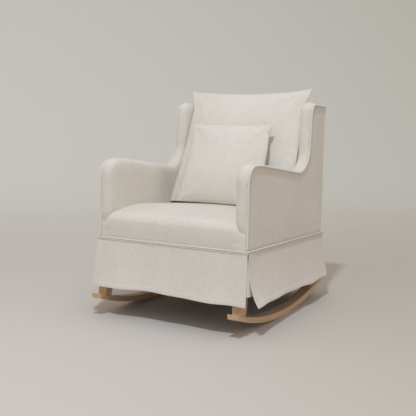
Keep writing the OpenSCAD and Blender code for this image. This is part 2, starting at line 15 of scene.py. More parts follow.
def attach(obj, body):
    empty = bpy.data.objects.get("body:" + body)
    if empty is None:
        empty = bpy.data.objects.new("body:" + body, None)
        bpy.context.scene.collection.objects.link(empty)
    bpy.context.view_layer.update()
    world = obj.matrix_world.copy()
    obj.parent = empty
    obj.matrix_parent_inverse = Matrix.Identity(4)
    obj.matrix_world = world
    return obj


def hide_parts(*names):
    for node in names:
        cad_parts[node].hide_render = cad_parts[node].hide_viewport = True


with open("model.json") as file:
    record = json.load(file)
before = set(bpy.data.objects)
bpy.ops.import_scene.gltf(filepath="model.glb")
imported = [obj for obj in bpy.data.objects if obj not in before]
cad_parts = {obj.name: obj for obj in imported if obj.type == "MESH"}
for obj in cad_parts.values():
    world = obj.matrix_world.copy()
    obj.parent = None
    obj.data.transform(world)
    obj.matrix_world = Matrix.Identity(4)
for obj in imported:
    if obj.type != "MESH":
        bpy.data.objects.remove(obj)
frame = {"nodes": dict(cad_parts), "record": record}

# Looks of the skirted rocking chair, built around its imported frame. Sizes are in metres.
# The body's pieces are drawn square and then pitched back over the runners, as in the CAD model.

LOG = logging.getLogger("rocking_chair")
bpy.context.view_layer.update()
SEED = 11
WELD = 2e-5
RIM_WIDTH = 0.002  # of a cloth's cut edge, in its UVs
ARM_SEAM_RISE = 0.0785  # from the foot of the arm's foam up to the seam under the arm

Pair = tuple[float, float]
Colour = tuple[float, float, float]


class Body(Enum):
    """The bodies of the record that pieces ride on."""

    CHAIR = "chair"
    BACK_CUSHION = "back_cushion"
    PILLOW = "pillow"


class Slot(Enum):
    """The record's material slots."""

    OAK = "oak"
    TIMBER = "frame_timber"
    STEEL = "steel"
    ZIP_METAL = "zip_metal"
    ZIP_TAPE = "zip_tape"
    FOAM = "foam"
    BAG = "fibre_bag"
    WEBBING = "webbing"
    DECK = "deck_cloth"
    DUST = "dust_cloth"
    PIPING = "linen_piping"
    SKIRT = "linen_skirt"
    CUSHION = "linen_cushion"
    LINEN = "linen"


class Space(Enum):
    """Where a finish takes its coordinates from."""

    UV = "uv"
    OBJECT = "object"


class Side(Enum):
    """The sitter's left is at +X."""

    LEFT = 1
    RIGHT = -1

    @property
    def word(self) -> str:
        """The side's name in lower case."""
        return self.name.lower()


def smooth(value: float, low: float, high: float) -> float:
    """A smooth step from 0 at low to 1 at high."""
    share = min(max((value - low) / (high - low), 0.0), 1.0)
    return share * share * (3 - 2 * share)


def bump(value: float, centre: float, width: float) -> float:
    """A smooth hump of height 1 around centre."""
    return math.exp(-(((value - centre) / width) ** 2))


# ---- the frame of the upholstered body ----
@dataclass(frozen=True)
class BodyFrame:
    """The square frame of the body, pitched back about the line where the runners meet the floor."""

    pitch: float

    @classmethod
    def from_cad(cls) -> "BodyFrame":
        """Reads the pitch from the two front edges of a square rail.

        Returns:
            The frame that all pieces of the body are drawn in.
        """
        points = [v.co for v in frame["nodes"]["spring_rail"].data.vertices]
        low = min(points, key=lambda p: p.y + 0.02 * p.z)
        high = max(points, key=lambda p: p.z - 0.5 * p.y)
        return cls(math.atan2(high.y - low.y, high.z - low.z))

    def world(self, x: float, y: float, z: float) -> Vector:
        """The place in the row frame of a point of the body."""
        c, s = math.cos(self.pitch), math.sin(self.pitch)
        return Vector((x, y * c + z * s, -y * s + z * c))

    def local(self, p: Vector) -> Vector:
        """The place in the body of a point of the row frame."""
        c, s = math.cos(self.pitch), math.sin(self.pitch)
        return Vector((p.x, p.y * c - p.z * s, p.y * s + p.z * c))

    def box(self, node: str) -> tuple[Vector, Vector]:
        """The box of a CAD node, square in the body.

        Args:
            node: The CAD node's name.

        Returns:
            Its lowest and highest corners.
        """
        points = np.array([self.local(v.co) for v in frame["nodes"][node].data.vertices])
        return Vector(points.min(0)), Vector(points.max(0))


BODY = BodyFrame.from_cad()


@dataclass(frozen=True)
class Plan:
    """Levels and faces of the body that several pieces share, all read from the CAD model."""

    inner_x: float
    front_y: float
    rear_y: float
    rail_rear_y: float
    top_z: float
    welt_z: float
    seam_z: float
    lip_x: float
    back_foot_y: float
    back_slope: float

    @classmethod
    def from_cad(cls) -> "Plan":
        """Reads the faces and levels from the CAD model.

        Returns:
            The plan.
        """
        outside = BODY.box("left_outside_cover")
        inside = BODY.box("left_inside_cover")
        seat = BODY.box("seat_cover")
        welt = BODY.box("skirt_welt")
        back = BODY.box("outside_back_cover")
        face = [BODY.local(v.co) for v in frame["nodes"]["inside_back_cover"].data.vertices]
        low = min(face, key=lambda p: p.z + 2 * p.y)
        high = min((p for p in face if p.z > low.z + 0.3), key=lambda p: 3 * p.y - p.z)
        slope = (high.y - low.y) / (high.z - low.z)
        return cls(
            inner_x=inside[0].x,
            front_y=seat[0].y,
            rear_y=back[1].y,
            rail_rear_y=outside[1].y,
            top_z=inside[1].z,
            welt_z=(welt[0].z + welt[1].z) / 2,
            seam_z=BODY.box("left_arm_foam")[0].z + ARM_SEAM_RISE,
            lip_x=seat[1].x,
            back_foot_y=low.y - low.z * slope,
            back_slope=slope,
        )

    def back_y(self, z: float) -> float:
        """Depth of the inside back's face at a height."""
        return self.back_foot_y + self.back_slope * z


PLAN = Plan.from_cad()


# ---- finishes ----
class Graph:
    """A small builder of shader node trees."""

    def __init__(self, name: str) -> None:
        """Starts a material with an empty tree."""
        self.material = bpy.data.materials.new(name)
        self.material.use_nodes = True
        self.tree = self.material.node_tree
        self.tree.nodes.clear()

    def node(self, kind: str, inputs: Optional[dict] = None, **settings: object) -> bpy.types.Node:
        """Adds a node.

        Args:
            kind: The node's type without the Shader prefix.
            inputs: Values, or sockets to link, by input name or number.
            settings: Properties of the node.

        Returns:
            The node.
        """
        made = self.tree.nodes.new("ShaderNode" + kind)
        for key, value in settings.items():
            setattr(made, key, value)
        for key, value in (inputs or {}).items():
            if isinstance(value, bpy.types.NodeSocket):
                self.tree.links.new(value, made.inputs[key])
            else:
                made.inputs[key].default_value = value
        return made

    def math(self, operation: str, a: object, b: object = 0.0, c: object = 0.0) -> bpy.types.NodeSocket:
        """A Math node's result for two or three values or sockets."""
        return self.node("Math", {0: a, 1: b, 2: c}, operation=operation).outputs[0]

    def scaled(self, value: object, gain: float, level: float) -> bpy.types.NodeSocket:
        """A value times gain plus level."""
        return self.math("MULTIPLY_ADD", value, gain, level)

    def blend(self, share: object, a: object, b: object) -> bpy.types.NodeSocket:
        """A mix of two colours.

        Args:
            share: How much of the second colour, as a value or a socket.
            a: The first colour, as a value or a socket.
            b: The second colour, as a value or a socket.

        Returns:
            The mixed colour.
        """
        return self.node("Mix", {0: share, 6: a, 7: b}, data_type="RGBA").outputs[2]

    def place(self, space: Space) -> bpy.types.NodeSocket:
        """Coordinates in metres.

        Args:
            space: UV or object coordinates.

        Returns:
            The vector socket.
        """
        if space is Space.UV:
            return self.node("UVMap", uv_map="UVMap").outputs[0]
        return self.node("TexCoord").outputs["Object"]

    def stretched(self, place: bpy.types.NodeSocket, sizes: Sequence[float], detail: float,
                  seed: float) -> bpy.types.NodeSocket:
        """Noise whose grains have the given sizes in metres along each axis.

        Args:
            place: Coordinates in metres.
            sizes: Grain size along X, Y and Z.
            detail: Octaves of finer grain.
            seed: An offset that makes the pattern differ.

        Returns:
            The noise value, about 0.5.
        """
        scale, offset = tuple(1.0 / s for s in sizes), (seed, seed * 0.7, seed * 1.3)
        moved = self.node("Mapping", {"Vector": place, "Scale": scale, "Location": offset})
        return self.node("TexNoise", {
            "Vector": moved.outputs[0], "Scale": 1.0, "Detail": detail, "Roughness": 0.55}).outputs[0]

    def close(self, colour: object, roughness: object, height: object, relief: float, depth: float,
              uniform: dict) -> bpy.types.Material:
        """Ends the tree in a Principled shader.

        Args:
            colour: Base colour value or socket.
            roughness: Roughness value or socket.
            height: Socket of the height map, or None.
            relief: Strength of the bump.
            depth: Height in metres of a full step of the height map.
            uniform: Plain values set directly on the shader's sockets.

        Returns:
            The material.
        """
        inputs = {"Base Color": colour, "Roughness": roughness, **uniform}
        if height is not None:
            bumped = self.node("Bump", {"Height": height, "Strength": relief, "Distance": depth})
            inputs["Normal"] = bumped.outputs[0]
        shader = self.node("BsdfPrincipled", inputs)
        self.node("OutputMaterial", {"Surface": shader.outputs[0]})
        return self.material


def rgba(colour: Colour, scale: float = 1.0) -> tuple[float, float, float, float]:
    """A colour with full alpha, made lighter or darker."""
    return (colour[0] * scale, colour[1] * scale, colour[2] * scale, 1.0)


@dataclass(frozen=True)
class ClothFinish:
    """A woven linen: crossed threads, thick places in both directions and a slow mottling."""

    name: str
    colour: Colour
    space: Space = Space.UV
    thread: float = 0.0016
    slub_length: float = 0.030
    slub_width: float = 0.0034
    contrast: float = 0.13
    mottle: float = 0.035
    mottle_size: float = 0.17
    fuzz_size: float = 0.006
    relief: float = 0.45
    nap: float = 0.0009
    roughness: float = 0.88
    sheen: float = 0.22

    def material(self) -> bpy.types.Material:
        """Builds the cloth's node tree.

        Returns:
            The material.
        """
        g = Graph(self.name)
        place = g.place(self.space)
        long, thin = self.slub_length, self.slub_width
        across = g.stretched(place, (long, thin, thin), 2.0, 3.0)
        crossed = (thin, long, long) if self.space is Space.UV else (thin, thin, long)
        along = g.stretched(place, crossed, 2.0, 9.0)
        slow = g.stretched(place, (self.mottle_size,) * 3, 2.0, 21.0)
        fine = g.stretched(place, (self.fuzz_size,) * 3, 3.0, 33.0)
        slubs = g.math("ADD", across, along)
        weave = g.math("MAXIMUM", self.threads(g, place, 0), self.threads(g, place, 1))
        tint = g.scaled(g.scaled(slubs, 1.0, -1.0), 1.8 * self.contrast, 1.0)
        drift = g.scaled(g.scaled(slow, 1.0, -0.5), 4 * self.mottle, 1.0)
        # Painted shade and light: the colour is darker in the hollows between threads and lighter on their
        # crowns.
        painted_weave_shade = g.scaled(weave, 0.10, 0.93)
        value = g.math("MULTIPLY", g.math("MULTIPLY", tint, drift), painted_weave_shade)
        grey = g.scaled(g.scaled(fine, 1.0, -0.5), 0.5, 1.0)
        base = g.node("HueSaturation", {"Value": value, "Saturation": grey, "Color": rgba(self.colour)})
        height = g.math("ADD", g.math("MULTIPLY", weave, 0.5), g.math("MULTIPLY", slubs, 1.1))
        rough = g.scaled(fine, 0.12, self.roughness - 0.06)
        return g.close(base.outputs[0], rough, height, self.relief, self.nap, {
            "Sheen Weight": self.sheen, "Sheen Roughness": 0.45, "Specular IOR Level": 0.25})

    def threads(self, g: Graph, place: bpy.types.NodeSocket, axis: int) -> bpy.types.NodeSocket:
        """Rows of round threads that pass over and under each other.

        Args:
            g: The graph to add to.
            place: Coordinates in metres.
            axis: 0 or 1, the direction the rows repeat in.

        Returns:
            A height from 0 to 1.
        """
        parts = g.node("SeparateXYZ", {0: place})
        pick = (0, 1) if self.space is Space.UV else (0, 2)
        turn = 2 * math.pi / self.thread
        here = g.math("MULTIPLY", parts.outputs[pick[axis]], turn)
        other = g.math("MULTIPLY", parts.outputs[pick[1 - axis]], turn / 2)
        shift = 0.0 if axis == 0 else math.pi / 2
        row = g.math("ABSOLUTE", g.math("SINE", g.math("MULTIPLY", here, 0.5)))
        over = g.scaled(g.math("SINE", g.math("ADD", other, shift)), 0.5, 0.5)
        return g.math("MULTIPLY", row, over)


@dataclass(frozen=True)
class WoodFinish:
    """Timber with growth rings, fibres and pores along the grain."""

    name: str
    light: Colour
    dark: Colour
    space: Space = Space.UV
    grain: Sequence[float] = (0.30, 0.006, 0.006)
    pore: Sequence[float] = (0.030, 0.0007, 0.0007)
    roughness: float = 0.46
    bend: float = 0.0

    def material(self) -> bpy.types.Material:
        """Builds the timber's node tree.

        Returns:
            The material.
        """
        g = Graph(self.name)
        place = g.place(self.space)
        if self.bend:
            place = self.bent(g, place)
        rings = g.stretched(place, self.grain, 4.0, 5.0)
        fibres = g.stretched(place, self.pore, 3.0, 17.0)
        slow = g.stretched(place, tuple(6 * s for s in self.grain), 2.0, 29.0)
        ramp = g.node("ValToRGB", {0: rings})
        stops = ramp.color_ramp.elements
        stops[0].position, stops[1].position = 0.34, 0.66
        stops[0].color, stops[1].color = rgba(self.dark), rgba(self.light)
        worn = g.blend(g.math("MULTIPLY", slow, 0.45), ramp.outputs[0], rgba(self.light, 1.05))
        pores = g.node("MapRange", {0: fibres, 1: 0.56, 2: 0.74, 3: 0.0, 4: 0.38}).outputs[0]
        colour = g.blend(pores, worn, rgba(self.dark, 0.72))
        rough = g.scaled(fibres, 0.22, self.roughness - 0.1)
        height = g.math("ADD", rings, g.math("MULTIPLY", fibres, -0.8))
        return g.close(colour, rough, height, 0.25, 0.0005, {"Specular IOR Level": 0.4})

    def bent(self, g: Graph, place: bpy.types.NodeSocket) -> bpy.types.NodeSocket:
        """Coordinates that run round an arc standing on the floor.

        Args:
            g: The graph to add to.
            place: Coordinates in metres.

        Returns:
            Coordinates across, along and through the bent piece.
        """
        parts = g.node("SeparateXYZ", {0: place})
        up = g.scaled(parts.outputs[2], -1.0, self.bend)
        along = g.math("MULTIPLY", g.math("ARCTAN2", parts.outputs[1], up), self.bend)
        flat = g.node("CombineXYZ", {1: parts.outputs[1], 2: up}).outputs[0]
        away = g.node("VectorMath", {0: flat}, operation="LENGTH").outputs["Value"]
        return g.node("CombineXYZ", {0: parts.outputs[0], 1: along, 2: away}).outputs[0]


@dataclass(frozen=True)
class PlainFinish:
    """Foam, felt, webbing or metal: a base colour broken up by grain."""

    name: str
    colour: Colour
    grain: Sequence[float] = (0.003, 0.003, 0.003)
    variation: float = 0.25
    roughness: float = 0.85
    metallic: float = 0.0
    relief: float = 0.4
    depth: float = 0.0006
    patch: float = 0.08

    def material(self) -> bpy.types.Material:
        """Builds the node tree.

        Returns:
            The material.
        """
        g = Graph(self.name)
        place = g.place(Space.OBJECT)
        grain = g.stretched(place, self.grain, 3.0, 7.0)
        slow = g.stretched(place, (self.patch,) * 3, 2.0, 13.0)
        share = g.math("MULTIPLY_ADD", slow, 0.4, g.math("MULTIPLY", grain, 0.6))
        darker, lighter = 1 - self.variation, 1 + 0.4 * self.variation
        colour = g.blend(share, rgba(self.colour, darker), rgba(self.colour, lighter))
        rough = g.scaled(grain, 0.2, self.roughness - 0.1)
        return g.close(colour, rough, grain, self.relief, self.depth, {"Metallic": self.metallic})


@dataclass(frozen=True)
class Finishes:
    """All finishes, built once and shared."""

    cloth: Colour = (0.735, 0.685, 0.615)
    oak_light: Colour = (0.64, 0.44, 0.265)
    oak_dark: Colour = (0.46, 0.30, 0.165)
    runner_radius: float = 1.26
    made: dict[str, bpy.types.Material] = field(default_factory=dict)

    def cloths(self) -> dict[str, ClothFinish]:
        """The upholstery cloth on its pieces, with its cord and its thread.

        Returns:
            Finishes by key.
        """
        cord = tuple(1.03 * c for c in self.cloth)
        thread = tuple(1.06 * c for c in self.cloth)
        return {
            "linen": ClothFinish("linen_weave", self.cloth),
            "skirt": ClothFinish("linen_skirt_weave", self.cloth, contrast=0.12),
            "piping": ClothFinish("linen_bias_cord", cord, slub_length=0.012, contrast=0.07),
            "cushion": ClothFinish("linen_cushion_weave", self.cloth),
            "thread": ClothFinish("linen_thread", thread, Space.OBJECT, thread=0.0006, slub_length=0.004,
                                  slub_width=0.0008, contrast=0.05),
        }

    def woods(self) -> dict[str, WoodFinish]:
        """The oak of the runners and legs, and the plain timber inside.

        Returns:
            Finishes by key.
        """
        oak = (self.oak_light, self.oak_dark, Space.OBJECT)
        return {
            "runner_oak": WoodFinish("bent_oak", *oak, (0.007, 0.30, 0.007), (0.0008, 0.030, 0.0008),
                                     bend=self.runner_radius),
            "leg_oak": WoodFinish("straight_oak", *oak, (0.007, 0.007, 0.30), (0.0008, 0.0008, 0.030)),
            "timber": WoodFinish("frame_timber_grain", (0.58, 0.43, 0.26), (0.42, 0.28, 0.15), Space.OBJECT,
                                 (0.01, 0.3, 0.01), (0.001, 0.03, 0.001), 0.7),
        }

    def plains(self) -> dict[str, PlainFinish]:
        """The metals, foams and inner cloths: colour, grain, variation, roughness, metallic and relief.

        Returns:
            Finishes by key.
        """
        return {
            "steel": PlainFinish(
                "drawn_steel", (0.42, 0.43, 0.45), (0.001, 0.02, 0.001), 0.2, 0.42, 1.0, 0.15),
            "zip_metal": PlainFinish(
                "zip_nickel", (0.55, 0.54, 0.52), (0.0008, 0.0008, 0.0008), 0.15, 0.35, 1.0, 0.1),
            "zip_tape": PlainFinish(
                "zip_tape_weave", (0.55, 0.50, 0.42), (0.0016, 0.003, 0.0006), 0.35, 0.9, 0.0, 0.8),
            "foam": PlainFinish(
                "cut_foam", (0.74, 0.62, 0.32), (0.0016, 0.0016, 0.0016), 0.3, 0.95, 0.0, 0.9),
            "bag": PlainFinish(
                "fibre_bag_felt", (0.82, 0.80, 0.76), (0.006, 0.002, 0.006), 0.12, 0.95, 0.0, 0.7),
            "webbing": PlainFinish(
                "jute_webbing", (0.20, 0.16, 0.12), (0.0022, 0.006, 0.0022), 0.4, 0.9, 0.0, 0.9),
            "deck": PlainFinish(
                "deck_hessian", (0.30, 0.25, 0.17), (0.003, 0.003, 0.003), 0.4, 0.95, 0.0, 0.9),
            "dust": PlainFinish(
                "dust_felt", (0.028, 0.028, 0.030), (0.002, 0.002, 0.002), 0.4, 0.95, 0.0, 0.5),
        }

    def build(self) -> "Finishes":
        """Makes every material.

        Returns:
            The same object, for chaining.
        """
        for key, look in {**self.cloths(), **self.woods(), **self.plains()}.items():
            self.made[key] = look.material()
        return self

    def __getitem__(self, key: str) -> bpy.types.Material:
        """The material of that key."""
        return self.made[key]


# ---- mesh building ----
class Patchwork:
    """Collects the patches of one mesh in body coordinates, with a UV in metres at every corner."""

    def __init__(self) -> None:
        """Starts with no patches."""
        self.points: list[Vector] = []
        self.faces: list[list[int]] = []
        self.uvs: list[list[Pair]] = []

    def grid(self, rows: Sequence[Sequence[Vector]], us: Sequence[float], vs: Sequence[float],
             wrap: bool = False, keep: Callable[[int, int], bool] = lambda i, j: True) -> None:
        """Adds a grid of quads.

        Args:
            rows: Points, one list for each place along u.
            us: The u of each row.
            vs: The v of each column, with one more than the columns where they wrap.
            wrap: Whether the last column joins the first.
            keep: Whether the quad of that row and column is made.
        """
        base, width = len(self.points), len(rows[0])
        for row in rows:
            self.points.extend(row)
        for i in range(len(rows) - 1):
            for j in range(width if wrap else width - 1):
                if not keep(i, j):
                    continue
                k = (j + 1) % width
                self.faces.append([base + i * width + j, base + i * width + k,
                                   base + (i + 1) * width + k, base + (i + 1) * width + j])
                places = ((i, j), (i, j + 1), (i + 1, j + 1), (i + 1, j))
                self.uvs.append([(us[m], vs[n]) for m, n in places])

    def fill(self, ring: np.ndarray, lift: Callable[[float, float, float], Vector], spacing: float) -> None:
        """Fills a flat outline with a mesh of triangles.

        Args:
            ring: The outline's points, n by 2.
            lift: The point in the body for two plane coordinates and the distance from the outline.
            spacing: Distance between the points inside.
        """
        inner = inside_points(ring, spacing)
        flat = [Vector(p) for p in np.vstack([ring, inner])] if len(inner) else [Vector(p) for p in ring]
        found = delaunay_2d_cdt(flat, [], [list(range(len(ring)))], 1, 1e-7)
        base = len(self.points)
        gaps = distance_to(ring, np.array([tuple(p) for p in found[0]]))
        self.points.extend(lift(p.x, p.y, gap) for p, gap in zip(found[0], gaps))
        for face in found[2]:
            self.faces.append([base + i for i in face])
            self.uvs.append([(found[0][i].x, found[0][i].y) for i in face])

    def fan(self, ring: Sequence[Vector], centre: Vector) -> None:
        """Closes a ring with triangles to a centre.

        Args:
            ring: The ring's points.
            centre: Where the triangles meet.
        """
        base, count = len(self.points), len(ring)
        self.points.extend([*ring, centre])
        for i in range(count):
            trio = [base + i, base + (i + 1) % count, base + count]
            self.faces.append(trio)
            self.uvs.append([(self.points[k].x, self.points[k].z) for k in trio])

    def build(self, name: str, material: bpy.types.Material, crease: float = 50.0,
              close_to: Optional[Callable[[Vector], Vector]] = None) -> bpy.types.Object:
        """Makes the object, with its patches welded and its normals outward.

        Args:
            name: The piece's name.
            material: Its finish.
            crease: Angle in degrees above which an edge stays sharp.
            close_to: Where the open edge is carried to before it is closed.

        Returns:
            The object, at the origin.
        """
        mesh = bpy.data.meshes.new(name)
        mesh.from_pydata([tuple(p) for p in self.points], [], self.faces)
        layer = mesh.uv_layers.new(name="UVMap")
        flat = [value for face in self.uvs for corner in face for value in corner]
        layer.data.foreach_set("uv", flat)
        work = bmesh.new()
        work.from_mesh(mesh)
        bmesh.ops.remove_doubles(work, verts=work.verts, dist=WELD)
        if close_to is not None:
            rim = [edge for edge in work.edges if edge.is_boundary]
            walls = bmesh.ops.extrude_edge_only(work, edges=rim)["geom"]
            for vert in (part for part in walls if isinstance(part, bmesh.types.BMVert)):
                vert.co = close_to(vert.co)
            foot = [part for part in walls if isinstance(part, bmesh.types.BMEdge)]
            bmesh.ops.triangle_fill(work, edges=foot, use_beauty=True, use_dissolve=False)
            bmesh.ops.remove_doubles(work, verts=work.verts, dist=WELD)
        bmesh.ops.dissolve_degenerate(work, edges=work.edges, dist=1e-6)
        bmesh.ops.recalc_face_normals(work, faces=work.faces)
        for vert in work.verts:
            vert.co = BODY.world(*vert.co)
        work.to_mesh(mesh)
        work.free()
        return finished(name, mesh, material, crease)


def finished(name: str, mesh: bpy.types.Mesh, material: bpy.types.Material,
             crease: float) -> bpy.types.Object:
    """Puts a mesh in the scene with its material and smooth shading.

    Args:
        name: The object's name.
        mesh: The mesh, in the row frame.
        material: Its finish.
        crease: Angle in degrees above which an edge stays sharp.

    Returns:
        The object.
    """
    mesh.materials.clear()
    mesh.materials.append(material)
    mesh.polygons.foreach_set("use_smooth", [True] * len(mesh.polygons))
    mesh.set_sharp_from_angle(angle=math.radians(crease))
    mesh.update()
    made = bpy.data.objects.new(name, mesh)
    bpy.context.scene.collection.objects.link(made)
    return made


def inside_points(ring: np.ndarray, spacing: float) -> np.ndarray:
    """Points of a staggered grid inside an outline, clear of its edge.

    Args:
        ring: The outline, n by 2.
        spacing: Distance between points.

    Returns:
        The points, m by 2.
    """
    low, high = ring.min(0), ring.max(0)
    found = []
    rows = np.arange(low[1] + spacing / 2, high[1], spacing * 0.87)
    for k, z in enumerate(rows):
        for y in np.arange(low[0] + spacing * (0.5 if k % 2 else 0.99), high[0], spacing):
            found.append((y, z))
    points = np.array(found)
    if not len(points):
        return points
    a, b = ring, np.roll(ring, -1, 0)
    inside = np.zeros(len(points), bool)
    for (y0, z0), (y1, z1) in zip(a, b):
        if z0 == z1:
            continue
        crosses = (points[:, 1] >= min(z0, z1)) & (points[:, 1] < max(z0, z1))
        at = y0 + (points[:, 1] - z0) * (y1 - y0) / (z1 - z0)
        inside ^= crosses & (points[:, 0] < at)
    points = points[inside]
    return points[distance_to(ring, points) > 0.55 * spacing] if len(points) else points


def distance_to(ring: np.ndarray, points: np.ndarray) -> np.ndarray:
    """Distance of each point from an outline.

    Args:
        ring: The outline, n by 2.
        points: The points, m by 2.

    Returns:
        The m distances.
    """
    best = np.full(len(points), np.inf)
    for a, b in zip(ring, np.roll(ring, -1, 0)):
        d = b - a
        square = max(float(d @ d), 1e-12)
        t = np.clip(((points - a) @ d) / square, 0, 1)
        best = np.minimum(best, np.linalg.norm(points - a - t[:, None] * d, axis=1))
    return best


def tube(work: Patchwork, path: Sequence[Vector], radius: float, sides: int = 14,
         closed: bool = False) -> None:
    """Adds a round cord along a path, with a cover cut on the bias.

    Args:
        work: The mesh to add to.
        path: Points of the centre line.
        radius: The cord's radius.
        sides: Facets around it.
        closed: Whether the last point joins the first.
    """
    count = len(path)
    ahead = []
    for i in range(count):
        before, after = (i - 1, (i + 1) % count) if closed else (max(i - 1, 0), min(i + 1, count - 1))
        ahead.append((path[after] - path[before]).normalized())
    side = ahead[0].orthogonal().normalized()
    rows, us, length = [], [], 0.0
    for i, (p, d) in enumerate(zip(path, ahead)):
        side = (side - d * side.dot(d)).normalized()
        other = d.cross(side)
        length += (p - path[i - 1]).length if i else 0.0
        us.append(length)
        rows.append([p + side * (radius * math.cos(t)) + other * (radius * math.sin(t))
                     for t in (2 * math.pi * k / sides for k in range(sides))])
    if closed:
        rows.append(rows[0])
        us.append(length + (path[0] - path[-1]).length)
    vs = [2 * math.pi * radius * k / sides for k in range(sides + 1)]
    work.grid(rows, us, vs, wrap=True)
    if not closed:
        work.fan(rows[0], path[0] - ahead[0] * radius * 0.4)
        work.fan(rows[-1], path[-1] + ahead[-1] * radius * 0.4)


def closed_sheet(work: Patchwork, rows: Sequence[Sequence[Vector]], us: Sequence[float], vs: Sequence[float],
                 thickness: Callable[[float, float], float]) -> None:
    """Adds a sheet of cloth with two faces and a rim.

    Args:
        work: The mesh to add to.
        rows: Points of the middle surface, one list for each place along u.
        us: The u of each row in metres.
        vs: The v of each column in metres.
        thickness: Thickness for a share of the way along u and along v.
    """
    n, m = len(rows), len(rows[0])
    faces: list[list[list[Vector]]] = [[], []]
    for i in range(n):
        near: list[Vector] = []
        far: list[Vector] = []
        for j in range(m):
            du = rows[min(i + 1, n - 1)][j] - rows[max(i - 1, 0)][j]
            dv = rows[i][min(j + 1, m - 1)] - rows[i][max(j - 1, 0)]
            normal = du.cross(dv).normalized()
            half = thickness(i / (n - 1), j / (m - 1)) / 2
            near.append(rows[i][j] + normal * half)
            far.append(rows[i][j] - normal * half)
        faces[0].append(near)
        faces[1].append(far)
    for face in faces:
        work.grid(face, us, vs)
    near, far = faces
    edges = [
        ([near[0], far[0]], vs), ([near[-1], far[-1]], vs),
        ([[row[0] for row in near], [row[0] for row in far]], us),
        ([[row[-1] for row in near], [row[-1] for row in far]], us),
    ]
    for strips, places in edges:
        work.grid(strips, [0.0, RIM_WIDTH], places)


def apply_modifiers(made: bpy.types.Object) -> bpy.types.Object:
    """Turns an object's modifiers into plain mesh.

    Args:
        made: The object.

    Returns:
        The same object with an applied mesh.
    """
    graph = bpy.context.evaluated_depsgraph_get()
    mesh = bpy.data.meshes.new_from_object(made.evaluated_get(graph))
    old = made.data
    made.modifiers.clear()
    made.data = mesh
    bpy.data.meshes.remove(old)
    return made


@dataclass
class Placed:
    """A finished piece and what it stands for."""

    made: bpy.types.Object
    body: Body
    slot: Slot
    nodes: Sequence[str] = ()
    fill: Optional[float] = None

    def attach(self) -> "Placed":
        """Parents the piece to its body's empty and hides the CAD nodes it stands for.

        Returns:
            The same object.
        """
        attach(self.made, self.body.value)
        if self.nodes:
            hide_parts(*self.nodes)
        LOG.info("%s: %d faces on %s", self.made.name, len(self.made.data.polygons), self.body.value)
        return self


# ---- the side profile ----
def corner_arc(a: np.ndarray, b: np.ndarray, c: np.ndarray, radius: float, steps: int) -> list[np.ndarray]:
    """Points of an arc that rounds a corner.

    Args:
        a: The point before the corner.
        b: The corner.
        c: The point after it.
        radius: The arc's radius.
        steps: Parts of the arc.

    Returns:
        The points, with both ends.
    """
    u, v = (a - b) / np.linalg.norm(a - b), (c - b) / np.linalg.norm(c - b)
    opening = math.acos(float(u @ v))
    middle = (u + v) / np.linalg.norm(u + v)
    centre = b + middle * radius / math.sin(opening / 2)
    start = b + u * radius / math.tan(opening / 2) - centre
    turn = (b - a)[0] * (c - b)[1] - (b - a)[1] * (c - b)[0]
    sweep = (math.pi - opening) * (1 if turn > 0 else -1)
    first = math.atan2(start[1], start[0])
    angles = [first + sweep * k / steps for k in range(steps + 1)]
    return [centre + radius * np.array([math.cos(t), math.sin(t)]) for t in angles]


@dataclass(frozen=True)
class SideProfile:
    """Outline of an arm and its wing, as depth and height: rear foot, wing, hollow, arm, front foot."""

    wing_y: float = 0.228
    hollow_y: float = 0.205
    hollow_drop: float = 0.055
    arm_y: float = 0.130
    arm_z: float = 0.680
    radii: Sequence[float] = (0.0, 0.0, 0.046, 0.115, 0.320, 0.068, 0.0)
    rear_drop: float = 0.0035
    wing_rise: float = 0.0005
    front_rise: float = 0.002
    steps: int = 12
    spacing: float = 0.016

    def outline(self, inset: float, foot: float) -> np.ndarray:
        """The profile moved in by a distance.

        Args:
            inset: How far every edge but the rear and the foot moves in.
            foot: Height of the foot.

        Returns:
            Its points, n by 2, the same number for any inset.
        """
        p = PLAN
        corners = np.array([
            (p.rail_rear_y, foot), (p.rail_rear_y, p.top_z - self.rear_drop),
            (self.wing_y, p.top_z + self.wing_rise),
            (self.hollow_y, self.arm_z - self.hollow_drop), (p.front_y + self.arm_y, self.arm_z),
            (p.front_y, self.arm_z + self.front_rise), (p.front_y, foot)])
        count = len(corners)
        moved = []
        for i in range(count):
            a, b, c = corners[i - 1], corners[i], corners[(i + 1) % count]
            n = np.array([-(b - a)[1], (b - a)[0]]) / np.linalg.norm(b - a)
            m = np.array([-(c - b)[1], (c - b)[0]]) / np.linalg.norm(c - b)
            q = b + inset * (n + m) / (1 + float(n @ m))
            moved.append([p.rail_rear_y if i < 2 else q[0], foot if i in (0, count - 1) else q[1]])
        moved = np.array(moved)
        points: list[np.ndarray] = []
        for i, radius in enumerate(self.radii):
            if radius == 0:
                points.append(moved[i])
            else:
                r = radius + inset if i == 3 else radius - inset
                points += corner_arc(moved[i - 1], moved[i], moved[(i + 1) % count], r, self.steps)
        return np.array(points)

    def rings(self, foot: float) -> tuple[np.ndarray, np.ndarray]:
        """The profile with points added along its straights, and how each point moves outward.

        Args:
            foot: Height of the foot.

        Returns:
            The points, and for each its move for one metre outward.
        """
        probe = 0.004
        base, inner = self.outline(0.0, foot), self.outline(probe, foot)
        ring, moves = [], []
        for i in range(len(base)):
            j = (i + 1) % len(base)
            parts = max(1, round(float(np.linalg.norm(base[j] - base[i])) / self.spacing))
            for t in (k / parts for k in range(parts)):
                a, b = base[i] * (1 - t) + base[j] * t, inner[i] * (1 - t) + inner[j] * t
                ring.append(a)
                moves.append((a - b) / probe)
        return np.array(ring), np.array(moves)


